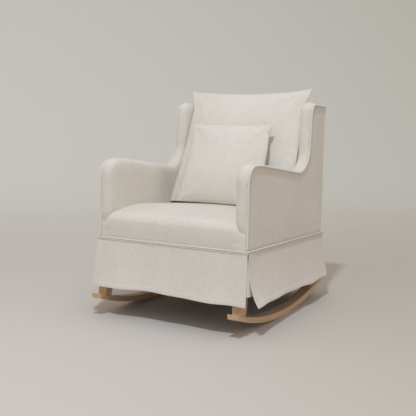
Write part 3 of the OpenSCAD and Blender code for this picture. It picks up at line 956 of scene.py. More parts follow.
# ---- upholstery ----
def rounded_line(points: Sequence[Pair], steps: int, radii: Sequence[float]) -> list[Pair]:
    """Rounds the inner corners of an open line.

    Args:
        points: The line's corners.
        steps: Parts of each rounding.
        radii: Radius at each inner corner.

    Returns:
        The rounded line.
    """
    line = [np.array(p, float) for p in points]
    found: list[np.ndarray] = [line[0]]
    for i, radius in enumerate(radii, start=1):
        found += corner_arc(line[i - 1], line[i], line[i + 1], radius, steps)
    found.append(line[-1])
    return [(float(p[0]), float(p[1])) for p in found]


def evenly(points: Sequence[Pair], spacing: float) -> list[Pair]:
    """Adds points to a line so that no two are further apart than a spacing.

    Args:
        points: The line.
        spacing: The longest step.

    Returns:
        The line with the added points.
    """
    found = [points[0]]
    for a, b in zip(points, points[1:]):
        parts = max(1, math.ceil(math.dist(a, b) / spacing))
        shares = [k / parts for k in range(1, parts + 1)]
        found += [(a[0] + (b[0] - a[0]) * t, a[1] + (b[1] - a[1]) * t) for t in shares]
    return found


def lengths(points: Sequence[Sequence[float]]) -> list[float]:
    """Distance along a line of points at each of them.

    Args:
        points: The line's points.

    Returns:
        The distances, from 0.
    """
    found = [0.0]
    for a, b in zip(points, points[1:]):
        found.append(found[-1] + math.dist(a, b))
    return found


@dataclass
class ArmPad:
    """Padding and cover of one arm with its wing: a crowned band round the profile and a soft inner face."""

    side: Side
    profile: SideProfile
    seam_level: float = -0.0042
    crown_height: float = 0.0085
    wing_extra: float = 0.0045
    round_x: float = 0.034
    round_drop: float = 0.034
    outer_x: float = 0.3668
    seam_line_x: float = 0.3570
    seam_line_depth: float = 0.0011
    band_xs: Sequence[float] = (0.3645, 0.3620, 0.3596, 0.3582, 0.3570, 0.3558, 0.3540, 0.3510, 0.3465)
    unevenness: float = 0.0005
    face_bulge: float = 0.0024
    foot_reach: float = 0.045
    foot_shift: float = 0.008
    foot_fall: float = 0.012

    def crown(self, y: float, z: float) -> float:
        """Height of the band's crown above its outer seam.

        Args:
            y: Depth of a point of the profile.
            z: Its height.

        Returns:
            The height, more on the wing, and running out at the rear and at the foot.
        """
        wing = smooth(z, self.profile.arm_z + 0.01, self.profile.arm_z + 0.10) * (1 - smooth(y, 0.25, 0.33))
        height = self.crown_height + self.wing_extra * wing
        height *= 1 - 0.75 * smooth(y, 0.30, PLAN.rail_rear_y - 0.004)
        return height * smooth(z, PLAN.seam_z, PLAN.seam_z + 0.012)

    def level(self, x: float, y: float, z: float) -> float:
        """How far the band stands outward of the profile, from the outer seam to the inner face.

        Args:
            x: Distance from the middle of the chair.
            y: Depth of a point of the profile.
            z: Its height.

        Returns:
            The distance.
        """
        flat_end = PLAN.inner_x + self.round_x
        rise = min((self.outer_x - x) / (self.outer_x - flat_end), 1.0)
        height = self.seam_level + self.crown(y, z) * math.sin(0.5 * math.pi * rise) ** 0.7
        height -= self.seam_line_depth * bump(x, self.seam_line_x, 0.0013)
        over = min(max((flat_end - x) / self.round_x, 0.0), 1.0)
        return height - self.round_drop * (1 - math.sqrt(max(1 - over ** 2.3, 0.0))) + self.ripple(x, y, z)

    def ripple(self, x: float, y: float, z: float) -> float:
        """Soft unevenness of stuffed cloth."""
        s = self.side.value
        return self.unevenness * (math.sin(23 * y + 31 * z + 9 * x + s) + 0.6 * math.sin(57 * y - 41 * z + s))

    def band_point(self, x: float, at: np.ndarray, move: np.ndarray) -> Vector:
        """A point of the band, let down over the seat's corner at the front foot.

        Args:
            x: Distance from the middle of the chair.
            at: Depth and height of a point of the profile.
            move: Its move for one metre outward.

        Returns:
            The point.
        """
        y, z = at
        on_front = y < PLAN.front_y + 0.03
        edge = smooth(PLAN.seam_z + self.foot_reach - z, 0.0, self.foot_reach) * on_front
        out = at + move * self.level(x, y, z)
        shift = self.foot_shift * edge * smooth(PLAN.inner_x + 0.03 - x, 0.0, 0.03)
        fall = self.foot_fall * edge ** 2 * smooth(x, 0.314, 0.342)
        return Vector((self.side.value * (x + shift), out[0], out[1] - fall))

    def build(self, finishes: Finishes) -> Placed:
        """Makes the pad.

        Args:
            finishes: The shared finishes.

        Returns:
            The pad, attached.
        """
        p, s, word, work = PLAN, self.side.value, self.side.word, Patchwork()
        ring, moves = self.profile.rings(p.seam_z)
        xs = [self.outer_x, *self.band_xs]
        xs += [p.inner_x + self.round_x * math.cos(0.5 * math.pi * k / 15) for k in range(16)]
        rows = [[self.band_point(x, at, move) for x in xs] for at, move in zip(ring, moves)]
        across = lengths([(x, self.level(x, 0.0, p.top_z)) for x in xs])
        work.grid(rows + rows[:1], lengths([*ring, ring[0]]), across)
        inner = np.array([(row[-1].y, row[-1].z) for row in rows])
        rim = {(round(float(y), 6), round(float(z), 6)): row[-1].x for (y, z), row in zip(inner, rows)}

        def face(y: float, z: float, gap: float) -> Vector:
            """The inner face, swollen inside and on the band's own points at its rim."""
            swollen = s * (p.inner_x - self.face_bulge * smooth(gap, 0.0, 0.05))
            return Vector((rim.get((round(y, 6), round(z, 6)), swollen), y, z))

        work.fill(inner, face, 0.022)
        outer = np.array([(row[0].y, row[0].z) for row in rows])
        work.fill(outer, lambda y, z, gap: Vector((s * self.outer_x, y, z)), 0.05)
        made = work.build(f"{word}_arm_pad", finishes["linen"])
        nodes = (f"{word}_inside_cover", f"{word}_arm_foam")
        return Placed(made, Body.CHAIR, Slot.LINEN, nodes, 0.9).attach()


@dataclass
class OuterPanel:
    """The flat outside of one arm and wing, over thin wadding."""

    side: Side
    profile: SideProfile
    inset: float = 0.0078
    edge_x: float = 0.3684
    inner_x: float = 0.3669
    bulge: float = 0.0026
    ripple: float = 0.0004
    foot: float = 0.336

    def face(self, y: float, z: float, gap: float) -> Vector:
        """The outer face, a little fuller away from its edge.

        Args:
            y: Depth.
            z: Height.
            gap: Distance from the panel's edge.

        Returns:
            The point.
        """
        wave = self.ripple * math.sin(19 * y + 27 * z) * smooth(gap, 0.0, 0.05)
        return Vector((self.side.value * (self.edge_x + self.bulge * smooth(gap, 0.0, 0.10) + wave), y, z))

    def build(self, finishes: Finishes) -> Placed:
        """Makes the panel.

        Args:
            finishes: The shared finishes.

        Returns:
            The panel, attached.
        """
        s, word, work = self.side.value, self.side.word, Patchwork()
        ring, moves = self.profile.rings(self.foot)
        edge = ring - moves * self.inset
        work.fill(edge, self.face, 0.020)
        work.fill(edge, lambda y, z, gap: Vector((s * self.inner_x, y, z)), 0.06)
        rim = [[Vector((s * x, y, z)) for x in (self.edge_x, self.inner_x)] for y, z in edge]
        work.grid(rim + rim[:1], lengths([*edge, edge[0]]), [0.0, self.edge_x - self.inner_x])
        made = work.build(f"{word}_outside_panel", finishes["linen"])
        return Placed(made, Body.CHAIR, Slot.LINEN, (f"{word}_outside_cover",), 1.0).attach()


@dataclass
class Piping:
    """Cord along one side's outer edge, with the fine sewn edge over the back and down the rear corner."""

    side: Side
    profile: SideProfile
    radius: float = 0.0040
    x: float = 0.3705
    inset: float = 0.0045
    foot: float = 0.341
    seam_x: float = 0.3688
    seam_drop: float = 0.0033
    seam_radius: float = 0.0021
    seam_corner: float = 0.004

    def build(self, finishes: Finishes) -> Placed:
        """Makes the cord and the sewn edge.

        Args:
            finishes: The shared finishes.

        Returns:
            The piece, attached.
        """
        s, word, work = self.side.value, self.side.word, Patchwork()
        line = [tuple(q) for q in self.profile.outline(self.inset, self.foot)][1:]
        tube(work, [Vector((s * self.x, y, z)) for y, z in evenly(line, 0.010)], self.radius)
        rear, top = (PLAN.rail_rear_y + PLAN.rear_y) / 2, PLAN.top_z - self.seam_drop
        corners = [(0.0, top), (self.seam_x, top), (self.seam_x, self.foot)]
        seam = evenly(rounded_line(corners, 4, (self.seam_corner,)), 0.02)
        tube(work, [Vector((s * x, rear, z)) for x, z in seam], self.seam_radius, 10)
        made = work.build(f"{word}_edge_piping", finishes["piping"])
        return Placed(made, Body.CHAIR, Slot.PIPING, (f"{word}_piping",)).attach()


@dataclass
class Seat:
    """The fixed seat: a crown between the arms that rolls over the front and runs down to the welt."""

    foot: float = 0.336
    drop: float = 0.013
    front_bulge: float = 0.0050
    tuck: float = 0.005
    ear_top: float = 0.4700
    ear_xs: Sequence[float] = (0.3635, 0.361, 0.355, 0.34, 0.325, 0.316)
    unevenness: float = 0.0008

    def section(self) -> list[Pair]:
        """The line over the seat from the back, rolling over the front and down.

        Returns:
            Points as depth and height.
        """
        p = PLAN
        corners = [(p.back_y(0.445), 0.445), (p.back_y(0.452) - 0.004, 0.462), (0.0, 0.474), (-0.190, 0.485),
                   (p.front_y, 0.447), (p.front_y, self.foot)]
        line = evenly(rounded_line(corners, 10, (0.012, 0.30, 0.38, 0.042)), 0.014)
        above = [q for q in line if q[1] > self.ear_top or q[0] > 0]
        return above + [q for q in line if q[1] <= self.ear_top and q[0] <= 0]

    def surface(self, x: float, y: float, z: float) -> Vector:
        """The cover over a point of the section.

        Args:
            x: Place across the seat.
            y: The section point's depth.
            z: Its height.

        Returns:
            The point, lower towards the arms and fuller over the front.
        """
        p, out = PLAN, abs(x)
        side = min(out / p.inner_x, 1.0)
        on_top = smooth(z, 0.400, 0.450)
        tuck = self.tuck * smooth(out, p.inner_x - 0.020, p.inner_x + 0.004) ** 2 * on_top
        fuller = 1 - 0.85 * smooth(-y, 0.08, 0.34)
        low = z - fuller * (self.drop * side ** 2.2 * on_top + tuck)
        ahead = (1 - on_top * 0.7) * math.sin(math.pi * min(max((z - self.foot) / 0.15, 0.0), 1.0)) ** 0.8
        on_front = y < p.front_y + 0.05
        bulge = self.front_bulge * ahead * (1 - smooth(out, 0.30, p.lip_x)) * on_front
        back = 0.0040 * smooth(out, p.lip_x - 0.006, p.lip_x)
        back += 0.0055 * smooth(out, 0.318, 0.350) * smooth(z, 0.400, 0.409)
        wave = math.sin(9 * x + 13 * y) + 0.7 * math.sin(21 * x - 8 * y + 17 * z)
        return Vector((x, y - bulge + back, low + self.unevenness * wave * (1 - side ** 4) * on_top))

    def build(self, finishes: Finishes) -> Placed:
        """Makes the seat's padding and cover.

        Args:
            finishes: The shared finishes.

        Returns:
            The seat, attached.
        """
        p, work, line = PLAN, Patchwork(), self.section()
        half = [-p.lip_x, *(-x for x in self.ear_xs)]
        half += [p.inner_x * math.sin(0.5 * math.pi * (k / 20 - 1)) for k in range(21)]
        xs = half + [-x for x in reversed(half[:-1])]
        rows = [[self.surface(x, y, z) for x in xs] for y, z in line]
        inside = [abs(x) < p.inner_x + 1e-6 for x in xs]
        full = [z <= self.ear_top + 1e-6 and y < 0 for y, z in line]
        work.grid(rows, lengths(line), xs, keep=lambda i, j: full[i] or (inside[j] and inside[j + 1]))
        made = work.build("seat_pad", finishes["linen"], close_to=lambda q: Vector((q.x, q.y, self.foot)))
        return Placed(made, Body.CHAIR, Slot.LINEN, ("seat_cover", "seat_foam"), 0.9).attach()


@dataclass
class BackPad:
    """The fixed inside back between the wings, rolled over its top edge."""

    foot: float = 0.440
    top: float = 0.9475
    roll: float = 0.016
    bulge: float = 0.004
    side_tuck: float = 0.004
    gap: float = 0.0004
    rear: float = 0.3978

    def build(self, finishes: Finishes) -> Placed:
        """Makes the inside back's padding and cover.

        Args:
            finishes: The shared finishes.

        Returns:
            The pad, attached.
        """
        p, work, half = PLAN, Patchwork(), PLAN.inner_x - self.gap
        corners = [(p.back_y(self.foot), self.foot), (p.back_y(self.top), self.top), (self.rear, self.top)]
        line = evenly(rounded_line(corners, 8, (self.roll,)), 0.018)
        xs = [half * math.sin(0.5 * math.pi * (k / 14 - 1)) for k in range(29)]
        us = lengths(line)
        rows = []
        for (y, z), u in zip(line, us):
            along = math.sin(math.pi * u / us[-1])
            on_face = z < self.top - 0.002
            row = []
            for x in xs:
                swell = self.bulge * along * (1 - (x / half) ** 4)
                swell -= self.side_tuck * smooth(abs(x), half - 0.012, half)
                row.append(Vector((x, y - swell * on_face, z + 0.4 * swell)))
            rows.append(row)
        work.grid(rows, us, xs)
        made = work.build("inside_back_pad", finishes["linen"],
                          close_to=lambda q: Vector((q.x, self.rear, q.z)))
        nodes = ("inside_back_cover", "back_foam")
        return Placed(made, Body.CHAIR, Slot.LINEN, nodes, 0.9).attach()


@dataclass
class OutsideBack:
    """The cloth stretched over the rear of the frame."""

    half: float = 0.3688
    foot: float = 0.3365
    top: float = 0.9460
    y: float = 0.3990
    thickness: float = 0.0020
    bulge: float = 0.0012

    def point(self, x: float, z: float) -> Vector:
        """A point of the cloth, which stands out a little in its middle."""
        up = math.sin(math.pi * (z - self.foot) / (self.top - self.foot))
        return Vector((x, self.y + self.bulge * (1 - (x / self.half) ** 2) * up, z))

    def build(self, finishes: Finishes) -> Placed:
        """Makes the cloth.

        Args:
            finishes: The shared finishes.

        Returns:
            The cloth, attached.
        """
        work, tall = Patchwork(), self.top - self.foot
        xs = [self.half * (k / 14 - 1) for k in range(29)]
        zs = [self.foot + tall * k / 24 for k in range(25)]
        closed_sheet(work, [[self.point(x, z) for z in zs] for x in xs], xs, zs, lambda a, b: self.thickness)
        made = work.build("outside_back_cloth", finishes["linen"])
        placed = Placed(made, Body.CHAIR, Slot.LINEN, ("outside_back_cover",)).attach()
        declare_sheet(2 * self.half, tall)
        return placed


def declare_sheet(width: float,
                  length: float) -> None:
    """Rounds a sheet's cut size to the millimetre, and keeps nothing.

    Args:
        width: Its cut width.
        length: Its cut length.
    """
    width, length = round(width, 3), round(length, 3)


# ---- skirt ----
@dataclass
class Welt:
    """The cord round the foot of the body, with the sewn roll of the skirt's top edge below it."""

    x: float = 0.3772
    y: float = 0.4055
    corner: float = 0.004
    radius: float = 0.0037
    roll_radius: float = 0.0022
    roll_grow: float = 0.0012
    roll_drop: float = 0.0064
    stitch_grow: float = 0.0024
    stitch_drop: float = 0.0046

    def path(self, grow: float, z: float) -> list[Vector]:
        """A closed line round the body.

        Args:
            grow: Distance outward of the cord's own line.
            z: Height.

        Returns:
            The points.
        """
        found: list[Pair] = []
        steps = 6
        a, b, r = self.x + grow, self.y + grow, self.corner
        for sx, sy, first in ((1, -1, -90), (1, 1, 0), (-1, 1, 90), (-1, -1, 180)):
            for k in range(steps + 1):
                t = math.radians(first + 90 * k / steps)
                found.append((sx * (a - r) + r * math.cos(t), sy * (b - r) + r * math.sin(t)))
        return [Vector((x, y, z)) for x, y in evenly(found + found[:1], 0.012)[:-1]]

    def build(self, finishes: Finishes) -> Placed:
        """Makes the cord and the roll.

        Args:
            finishes: The shared finishes.

        Returns:
            The piece, attached.
        """
        work = Patchwork()
        tube(work, self.path(0.0, PLAN.welt_z), self.radius, 16, True)
        tube(work, self.path(self.roll_grow, PLAN.welt_z - self.roll_drop), self.roll_radius, 10, True)
        made = work.build("skirt_welt_cord", finishes["piping"])
        return Placed(made, Body.CHAIR, Slot.PIPING, ("skirt_welt",)).attach()

    def stitch_line(self) -> list[Vector]:
        """The closed line of stitching below the roll."""
        line = self.path(self.stitch_grow, PLAN.welt_z - self.roll_drop - self.stitch_drop)
        return line + line[:1]


class Edge(Enum):
    """The sides of the body that the skirt's panels hang on."""

    FRONT = "front"
    LEFT = "left"
    BACK = "back"
    RIGHT = "right"


@dataclass
class SkirtPanel:
    """One loose panel of the skirt, hung from the welt with a turned hem.

    Each fold is its place along the panel, its width as shares of the panel, and its height in metres.
    """

    edge: Edge
    half_top: float
    out_top: float
    hem_ends: Pair
    flare: Pair
    foot: float
    folds: Sequence[tuple[float, float, float]] = ()
    top: float = 0.3301
    thickness: float = 0.0022
    hem: float = 0.0165
    hem_extra: float = 0.0016
    turning_extra: float = 0.0010
    tip: float = 0.002
    wave: float = 0.0022
    stitch_lift: float = 0.0021
    side_turnings: float = 0.012
    hem_turning: float = 0.008

    def hang(self, a: float, b: float) -> Vector:
        """The panel's middle surface.

        Args:
            a: Share of the way along, from the end at the lower x or, on a side, at the front.
            b: Share of the way down.

        Returns:
            The point in the body.
        """
        front = self.edge is Edge.FRONT
        low = self.hem_ends[0] * (1 - a) + self.hem_ends[1] * a
        lead = 0.003 if front and a < 0.5 else 0.0
        along = (2 * a - 1) * (self.half_top + lead) * (1 - b) + low * b
        far = smooth(a, 0.0, 0.55)
        flare = self.flare[0] * (1 - far) + self.flare[1] * far
        out = self.out_top + flare * (0.80 * b ** 1.15 + 0.20 * b ** 4)
        for centre, width, height in self.folds:
            out += height * bump(a, centre + 0.02 * b, width * (0.8 + 0.5 * b)) * b ** 1.1
        wave = math.sin(2 * math.pi * 1.7 * a) + 0.5 * math.sin(2 * math.pi * 4.1 * a + 1.0)
        out += self.wave * wave * b ** 1.4
        z = self.top - (self.top - self.foot) * b - 0.0012 * wave * b
        if front:
            z += 0.007 * bump(a, 0.38, 0.22) * b
        if self.edge in (Edge.LEFT, Edge.RIGHT):
            # The front end stands off the body at the top, clings half way and kicks out at the hem.
            out += bump(a, 0.0, 0.10) * (0.004 * (1 - b) + 0.010 * b ** 6 - 0.008 * math.sin(math.pi * b))
            z += 0.004 * bump(a, 1.0, 0.1) * b - self.tip * bump(a, 0.0, 0.07) * b ** 3
        else:
            z -= 0.002 * (bump(a, 0.0, 0.05) + bump(a, 1.0, 0.05)) * b
        return self.turned(along, out, z)

    def turned(self, along: float, out: float, z: float) -> Vector:
        """A point of the panel's own side of the body.

        Args:
            along: Place along that side.
            out: Distance outward from the middle of the chair.
            z: Height.

        Returns:
            The point in the body.
        """
        if self.edge in (Edge.FRONT, Edge.BACK):
            return Vector((along, out if self.edge is Edge.BACK else -out, z))
        return Vector((out if self.edge is Edge.LEFT else -out, along, z))

    def build(self, finishes: Finishes) -> Placed:
        """Makes the panel.

        Args:
            finishes: The shared finishes.

        Returns:
            The panel, attached.
        """
        work, count, drop, word = Patchwork(), 88, self.top - self.foot, self.edge.value
        near_hem = {1 - up / drop for up in (self.hem + 0.0012, self.hem, 0.002, 0.0007)}
        shares = sorted({k / 30 for k in range(31)} | near_hem)
        rows = [[self.hang(i / count, b) for b in shares] for i in range(count + 1)]
        us = [2 * self.half_top * i / count for i in range(count + 1)]
        on_hem, at_edge = 1 - (self.hem + 0.0006) / drop, 1 - 0.0008 / drop

        def thickness(a: float, b: float) -> float:
            """Cloth, thicker over the hem and at the side turnings, and rounded at the edges.

            Args:
                a: Share of the way along.
                b: Share of the levels counted down.

            Returns:
                The thickness.
            """
            share = shares[round(b * (len(shares) - 1))]
            full = self.thickness + self.hem_extra * (share > on_hem)
            full += self.turning_extra * (a < 0.014 or a > 0.986)
            return full * (0.55 if share > at_edge or a in (0.0, 1.0) else 1.0)

        closed_sheet(work, rows, us, [drop * b for b in shares], thickness)
        made = work.build(f"{word}_skirt_panel", finishes["skirt"])
        placed = Placed(made, Body.CHAIR, Slot.SKIRT, (f"{word}_skirt",)).attach()
        wide = max(lengths(column)[-1] for column in zip(*rows))
        tall = max(lengths(row)[-1] for row in rows)
        declare_sheet(wide + self.side_turnings, tall + self.hem_turning)
        return placed

    def hem_line(self) -> list[Vector]:
        """The line of stitching above the hem, on the outer face.

        Returns:
            The line's points.
        """
        b = 1 - self.hem / (self.top - self.foot)
        lift = self.turned(0.0, self.stitch_lift, 0.0)
        return [self.hang(0.008 + 0.984 * i / 120, b) + lift for i in range(121)]


@dataclass
class CornerUnderlay:
    """The cloth behind the open corner of the skirt, folded round it."""

    sx: int
    sy: int
    length: float = 0.095
    top: float = 0.326
    foot: float = 0.156
    front_x: Pair = (0.3725, 0.0175)
    back_x: Pair = (0.3712, 0.011)
    y: Pair = (0.4002, 0.0165)
    thickness: float = 0.0014
    corner: float = 0.013
    levels: int = 14
    turnings: float = 0.004

    def build(self, finishes: Finishes) -> Placed:
        """Makes the underlay, whose places are each one at the top and how far the foot stands further out.

        Args:
            finishes: The shared finishes.

        Returns:
            The piece, attached.
        """
        work, rows, drop = Patchwork(), [], self.top - self.foot
        top_x, flare_x = self.front_x if self.sy < 0 else self.back_x
        for b in (k / self.levels for k in range(self.levels + 1)):
            x, y, z = top_x + flare_x * b, self.y[0] + self.y[1] * b, self.top - drop * b
            corners = [(x - self.length, y), (x, y), (x, y - self.length)]
            line = evenly(rounded_line(corners, 8, (self.corner,)), 0.012)
            rows.append([Vector((self.sx * u, self.sy * v, z)) for u, v in line])
        columns = [list(column) for column in zip(*rows)]
        vs = [drop * k / self.levels for k in range(self.levels + 1)]
        closed_sheet(work, columns, lengths(rows[0]), vs, lambda a, b: self.thickness)
        word = f"{'front' if self.sy < 0 else 'back'}_{'left' if self.sx > 0 else 'right'}_underlay"
        made = work.build(word, finishes["skirt"])
        placed = Placed(made, Body.CHAIR, Slot.SKIRT, ("skirt_underlays",)).attach()
        wide, tall = 2 * self.length + self.turnings, drop + self.turnings
        declare_sheet(wide, tall)
        return placed


# ---- loose cushions ----
@dataclass(frozen=True)
class CushionShape:
    """Outline and stuffing of a loose cushion, in a plane that leans with the back.

    Pairs are for the right end and the left end, seen by the sitter. A corner is how far it reaches
    sideways and up. Fullness is how far a side stands out between its foot and its top.
    """

    name: str
    body: Body
    nodes: Sequence[str]
    x: float
    y: float
    z: float
    half: float
    height: float
    front: float
    rear: float
    flat: float
    power: float
    corners: Sequence[Pair]
    fullness: Pair
    sag: float
    seed: float
    fill: float
    wrinkle: float = 0.0022
    tilt: float = 0.0
    step_out: float = 0.0
    firmer: float = 0.0
    slimmer: float = 0.0


@dataclass
class LooseCushion:
    """A knife-edged cushion: crowned on both faces, thin at its corners, with a stitched edge.

    Places on it are s, from -1 to 1 across, and t, from 0 to 1 up.
    """

    shape: CushionShape
    lean: float
    lip: float = 0.0016
    lump: float = 0.0016
    crease_reach: float = 0.62
    steps: int = 72
    stitch_inset: float = 0.0055
    stitch_lift: float = 0.0004

    def outline(self, s: float, t: float) -> Pair:
        """The place in the cushion's own plane.

        Args:
            s: Place across.
            t: Place up.

        Returns:
            Metres across and up.
        """
        q, end = self.shape, 0 if s < 0 else 1
        full = q.fullness[end] * math.sin(math.pi * min(t / 0.92, 1.0)) ** 0.7 * abs(s) ** 3
        reach = q.corners[end][0] * smooth(t, 0.78, 1.0) ** 1.6 * abs(s) ** 3
        up = q.corners[end][1] * smooth(t, 0.75, 1.0) * abs(s) ** 5
        top = q.sag * (1 - s * s) ** 0.8 * t ** 6
        # Near the top the corner's reach takes over from the side's fullness.
        return s * q.half + math.copysign(abs(reach - full), s), t * q.height + up - top

    def depth(self, s: float, t: float, front: bool) -> float:
        """Distance of a face from the seam plane.

        Args:
            s: Place across.
            t: Place up.
            front: Whether it is the face towards the sitter.

        Returns:
            The distance.
        """
        q, v = self.shape, 2 * t - 1
        rim = max((1 - s * s) * (1 - v * v), 0.0)
        crown = rim ** (q.power + q.firmer * smooth(s, -0.3, 0.9) + (0.0 if front else q.slimmer))
        lower = 1 + 0.26 * (1 - t) ** 2 * math.sin(math.pi * t)
        value = (q.front if front else q.rear) * crown * lower
        return value + self.creases(s, v) * min(1.0, rim * 9) if front else value

    def creases(self, s: float, v: float) -> float:
        """Puckers that run in from the corners, and slow lumps of the filling.

        Args:
            s: Place across.
            v: Place up, from -1 to 1.

        Returns:
            The height to add to the front face.
        """
        q, total = self.shape, 0.0
        for k, (cs, cv) in enumerate(((-1, -1), (1, -1), (1, 1), (-1, 1))):
            ds, dv = cs - s, cv - v
            away = math.hypot(ds, dv) / self.crease_reach
            turn = math.atan2(dv * cv, ds * cs)
            total += q.wrinkle * math.exp(-(away ** 2)) * math.sin(8.5 * turn + q.seed + 1.7 * k)
        lumps = math.sin(2.9 * s + q.seed) * math.cos(3.3 * v + 2 * q.seed)
        lumps += 0.5 * math.sin(6.1 * s - 4.7 * v + q.seed)
        return total + self.lump * lumps

    def surface(self, s: float, t: float, value: float) -> Vector:
        """A point of the cushion in the body.

        Args:
            s: Place across.
            t: Place up.
            value: Distance from the seam plane towards the sitter.

        Returns:
            The point, with the rear face pressed flat.
        """
        q = self.shape
        across, up = self.outline(s, t)
        value = max(value, -q.flat)
        ahead = q.step_out * smooth(-s, 0.55, 1.0) * (1 - smooth(t, 0.0, 0.55))
        c, n = math.cos(self.lean + q.tilt), math.sin(self.lean + q.tilt)
        return Vector((q.x + across, q.y - ahead + up * n - value * c, q.z + up * c + value * n))

    def share(self, k: int) -> float:
        """Places from 0 to 1, closer together near the edges."""
        return 0.5 - 0.5 * math.cos(math.pi * k / self.steps)

    def build(self, finishes: Finishes) -> Placed:
        """Makes the cushion.

        Args:
            finishes: The shared finishes.

        Returns:
            The cushion, attached.
        """
        work, q = Patchwork(), self.shape
        places = [self.share(k) for k in range(self.steps + 1)]
        for front in (True, False):
            rows = []
            for a in places:
                row = []
                for t in places:
                    s = 2 * a - 1
                    value = self.lip + self.depth(s, t, front)
                    on_edge = a in (0.0, 1.0) or t in (0.0, 1.0)
                    row.append(self.surface(s, t, 0.0 if on_edge else (value if front else -value)))
                rows.append(row)
            work.grid(rows, [2 * q.half * a for a in places], [q.height * t for t in places])
        made = work.build(q.name, finishes["cushion"], crease=70.0)
        return Placed(made, q.body, Slot.CUSHION, q.nodes, q.fill).attach()

    def edge_line(self) -> list[Vector]:
        """The line of edge stitching on the front face, up one side, over the top and down the other.

        Returns:
            The line's points.
        """
        ds, dt, count = self.stitch_inset / self.shape.half, self.stitch_inset / self.shape.height, 90
        shares = [k / count for k in range(count)]
        places = [(-1 + ds, dt + (1 - 2 * dt) * k) for k in shares]
        places += [(-1 + ds + (2 - 2 * ds) * k, 1 - dt) for k in shares]
        places += [(1 - ds, 1 - dt - (1 - 2 * dt) * k) for k in shares]
        return [self.surface(s, t, self.lip + self.depth(s, t, True) + self.stitch_lift) for s, t in places]


# ---- stitching ----
@dataclass
class StitchRun:
    """Rows of stitches laid along lines by a Geometry Nodes tree, then applied."""

    name: str
    lines: Sequence[Sequence[Vector]]
    body: Body
    slot: Slot
    spacing: float = 0.0052
    length: float = 0.0036
    radius: float = 0.00048
    jitter: float = 0.12

    def tree(self, material: bpy.types.Material) -> bpy.types.NodeTree:
        """Builds the tree: curve, resample, one stitch on each point, realize, material.

        Args:
            material: The thread's finish.

        Returns:
            The node group.
        """
        group = bpy.data.node_groups.new(self.name + "_nodes", "GeometryNodeTree")
        face, add = group.interface, group.nodes.new
        face.new_socket("Geometry", in_out="INPUT", socket_type="NodeSocketGeometry")
        for label in ("Spacing", "Stitch Length", "Stitch Radius", "Jitter"):
            face.new_socket(label, in_out="INPUT", socket_type="NodeSocketFloat")
        face.new_socket("Seed", in_out="INPUT", socket_type="NodeSocketInt")
        face.new_socket("Geometry", in_out="OUTPUT", socket_type="NodeSocketGeometry")
        source, out = add("NodeGroupInput").outputs, add("NodeGroupOutput").inputs
        curve, even = add("GeometryNodeMeshToCurve"), add("GeometryNodeResampleCurve")
        even.mode = "LENGTH"
        ball, shape = add("GeometryNodeMeshUVSphere"), add("GeometryNodeTransform")
        ball.inputs["Segments"].default_value, ball.inputs["Rings"].default_value = 8, 5
        ball.inputs["Radius"].default_value = 1.0
        half, size = add("ShaderNodeMath"), add("ShaderNodeCombineXYZ")
        half.operation, half.inputs[1].default_value = "MULTIPLY", 0.5
        tangent, aim = add("GeometryNodeInputTangent"), add("FunctionNodeAlignRotationToVector")
        aim.axis = "X"
        low, draw = add("ShaderNodeMath"), add("FunctionNodeRandomValue")
        low.operation, low.inputs[0].default_value = "SUBTRACT", 1.0
        draw.data_type, draw.inputs["Max"].default_value = "FLOAT", 1.0
        each, real = add("GeometryNodeInstanceOnPoints"), add("GeometryNodeRealizeInstances")
        shade, paint = add("GeometryNodeSetShadeSmooth"), add("GeometryNodeSetMaterial")
        paint.inputs["Material"].default_value = material
        wires = (
            (source["Geometry"], curve.inputs["Mesh"]), (curve.outputs["Curve"], even.inputs["Curve"]),
            (source["Spacing"], even.inputs["Length"]), (source["Stitch Length"], half.inputs[0]),
            (half.outputs[0], size.inputs[0]), (source["Stitch Radius"], size.inputs[1]),
            (source["Stitch Radius"], size.inputs[2]), (ball.outputs["Mesh"], shape.inputs["Geometry"]),
            (size.outputs[0], shape.inputs["Scale"]), (tangent.outputs[0], aim.inputs["Vector"]),
            (source["Jitter"], low.inputs[1]), (low.outputs[0], draw.inputs["Min"]),
            (source["Seed"], draw.inputs["Seed"]), (even.outputs["Curve"], each.inputs["Points"]),
            (shape.outputs["Geometry"], each.inputs["Instance"]),
            (aim.outputs["Rotation"], each.inputs["Rotation"]),
            (next(s for s in draw.outputs if s.enabled), each.inputs["Scale"]),
            (each.outputs["Instances"], real.inputs["Geometry"]),
            (real.outputs["Geometry"], shade.inputs["Geometry"]),
            (shade.outputs["Geometry"], paint.inputs["Geometry"]),
            (paint.outputs["Geometry"], out["Geometry"]),
        )
        for start, end in wires:
            group.links.new(start, end)
        return group

    def build(self, finishes: Finishes) -> Placed:
        """Makes the stitches as one plain mesh.

        Args:
            finishes: The shared finishes.

        Returns:
            The stitches, attached.
        """
        points: list[tuple[float, float, float]] = []
        edges: list[tuple[int, int]] = []
        for line in self.lines:
            base = len(points)
            points += [tuple(BODY.world(*p)) for p in line]
            edges += [(base + i, base + i + 1) for i in range(len(line) - 1)]
        mesh = bpy.data.meshes.new(self.name)
        mesh.from_pydata(points, edges, [])
        made = bpy.data.objects.new(self.name, mesh)
        bpy.context.scene.collection.objects.link(made)
        group = self.tree(finishes["thread"])
        inputs = (item for item in group.interface.items_tree if item.in_out == "INPUT")
        sockets = {item.name: item.identifier for item in inputs}
        layer = made.modifiers.new("stitches", "NODES")
        layer.node_group = group
        values = {"Spacing": self.spacing, "Stitch Length": self.length, "Stitch Radius": self.radius,
                  "Jitter": self.jitter, "Seed": SEED}
        for label, value in values.items():
            layer[sockets[label]] = value
        apply_modifiers(made)
        return Placed(made, self.body, self.slot).attach()


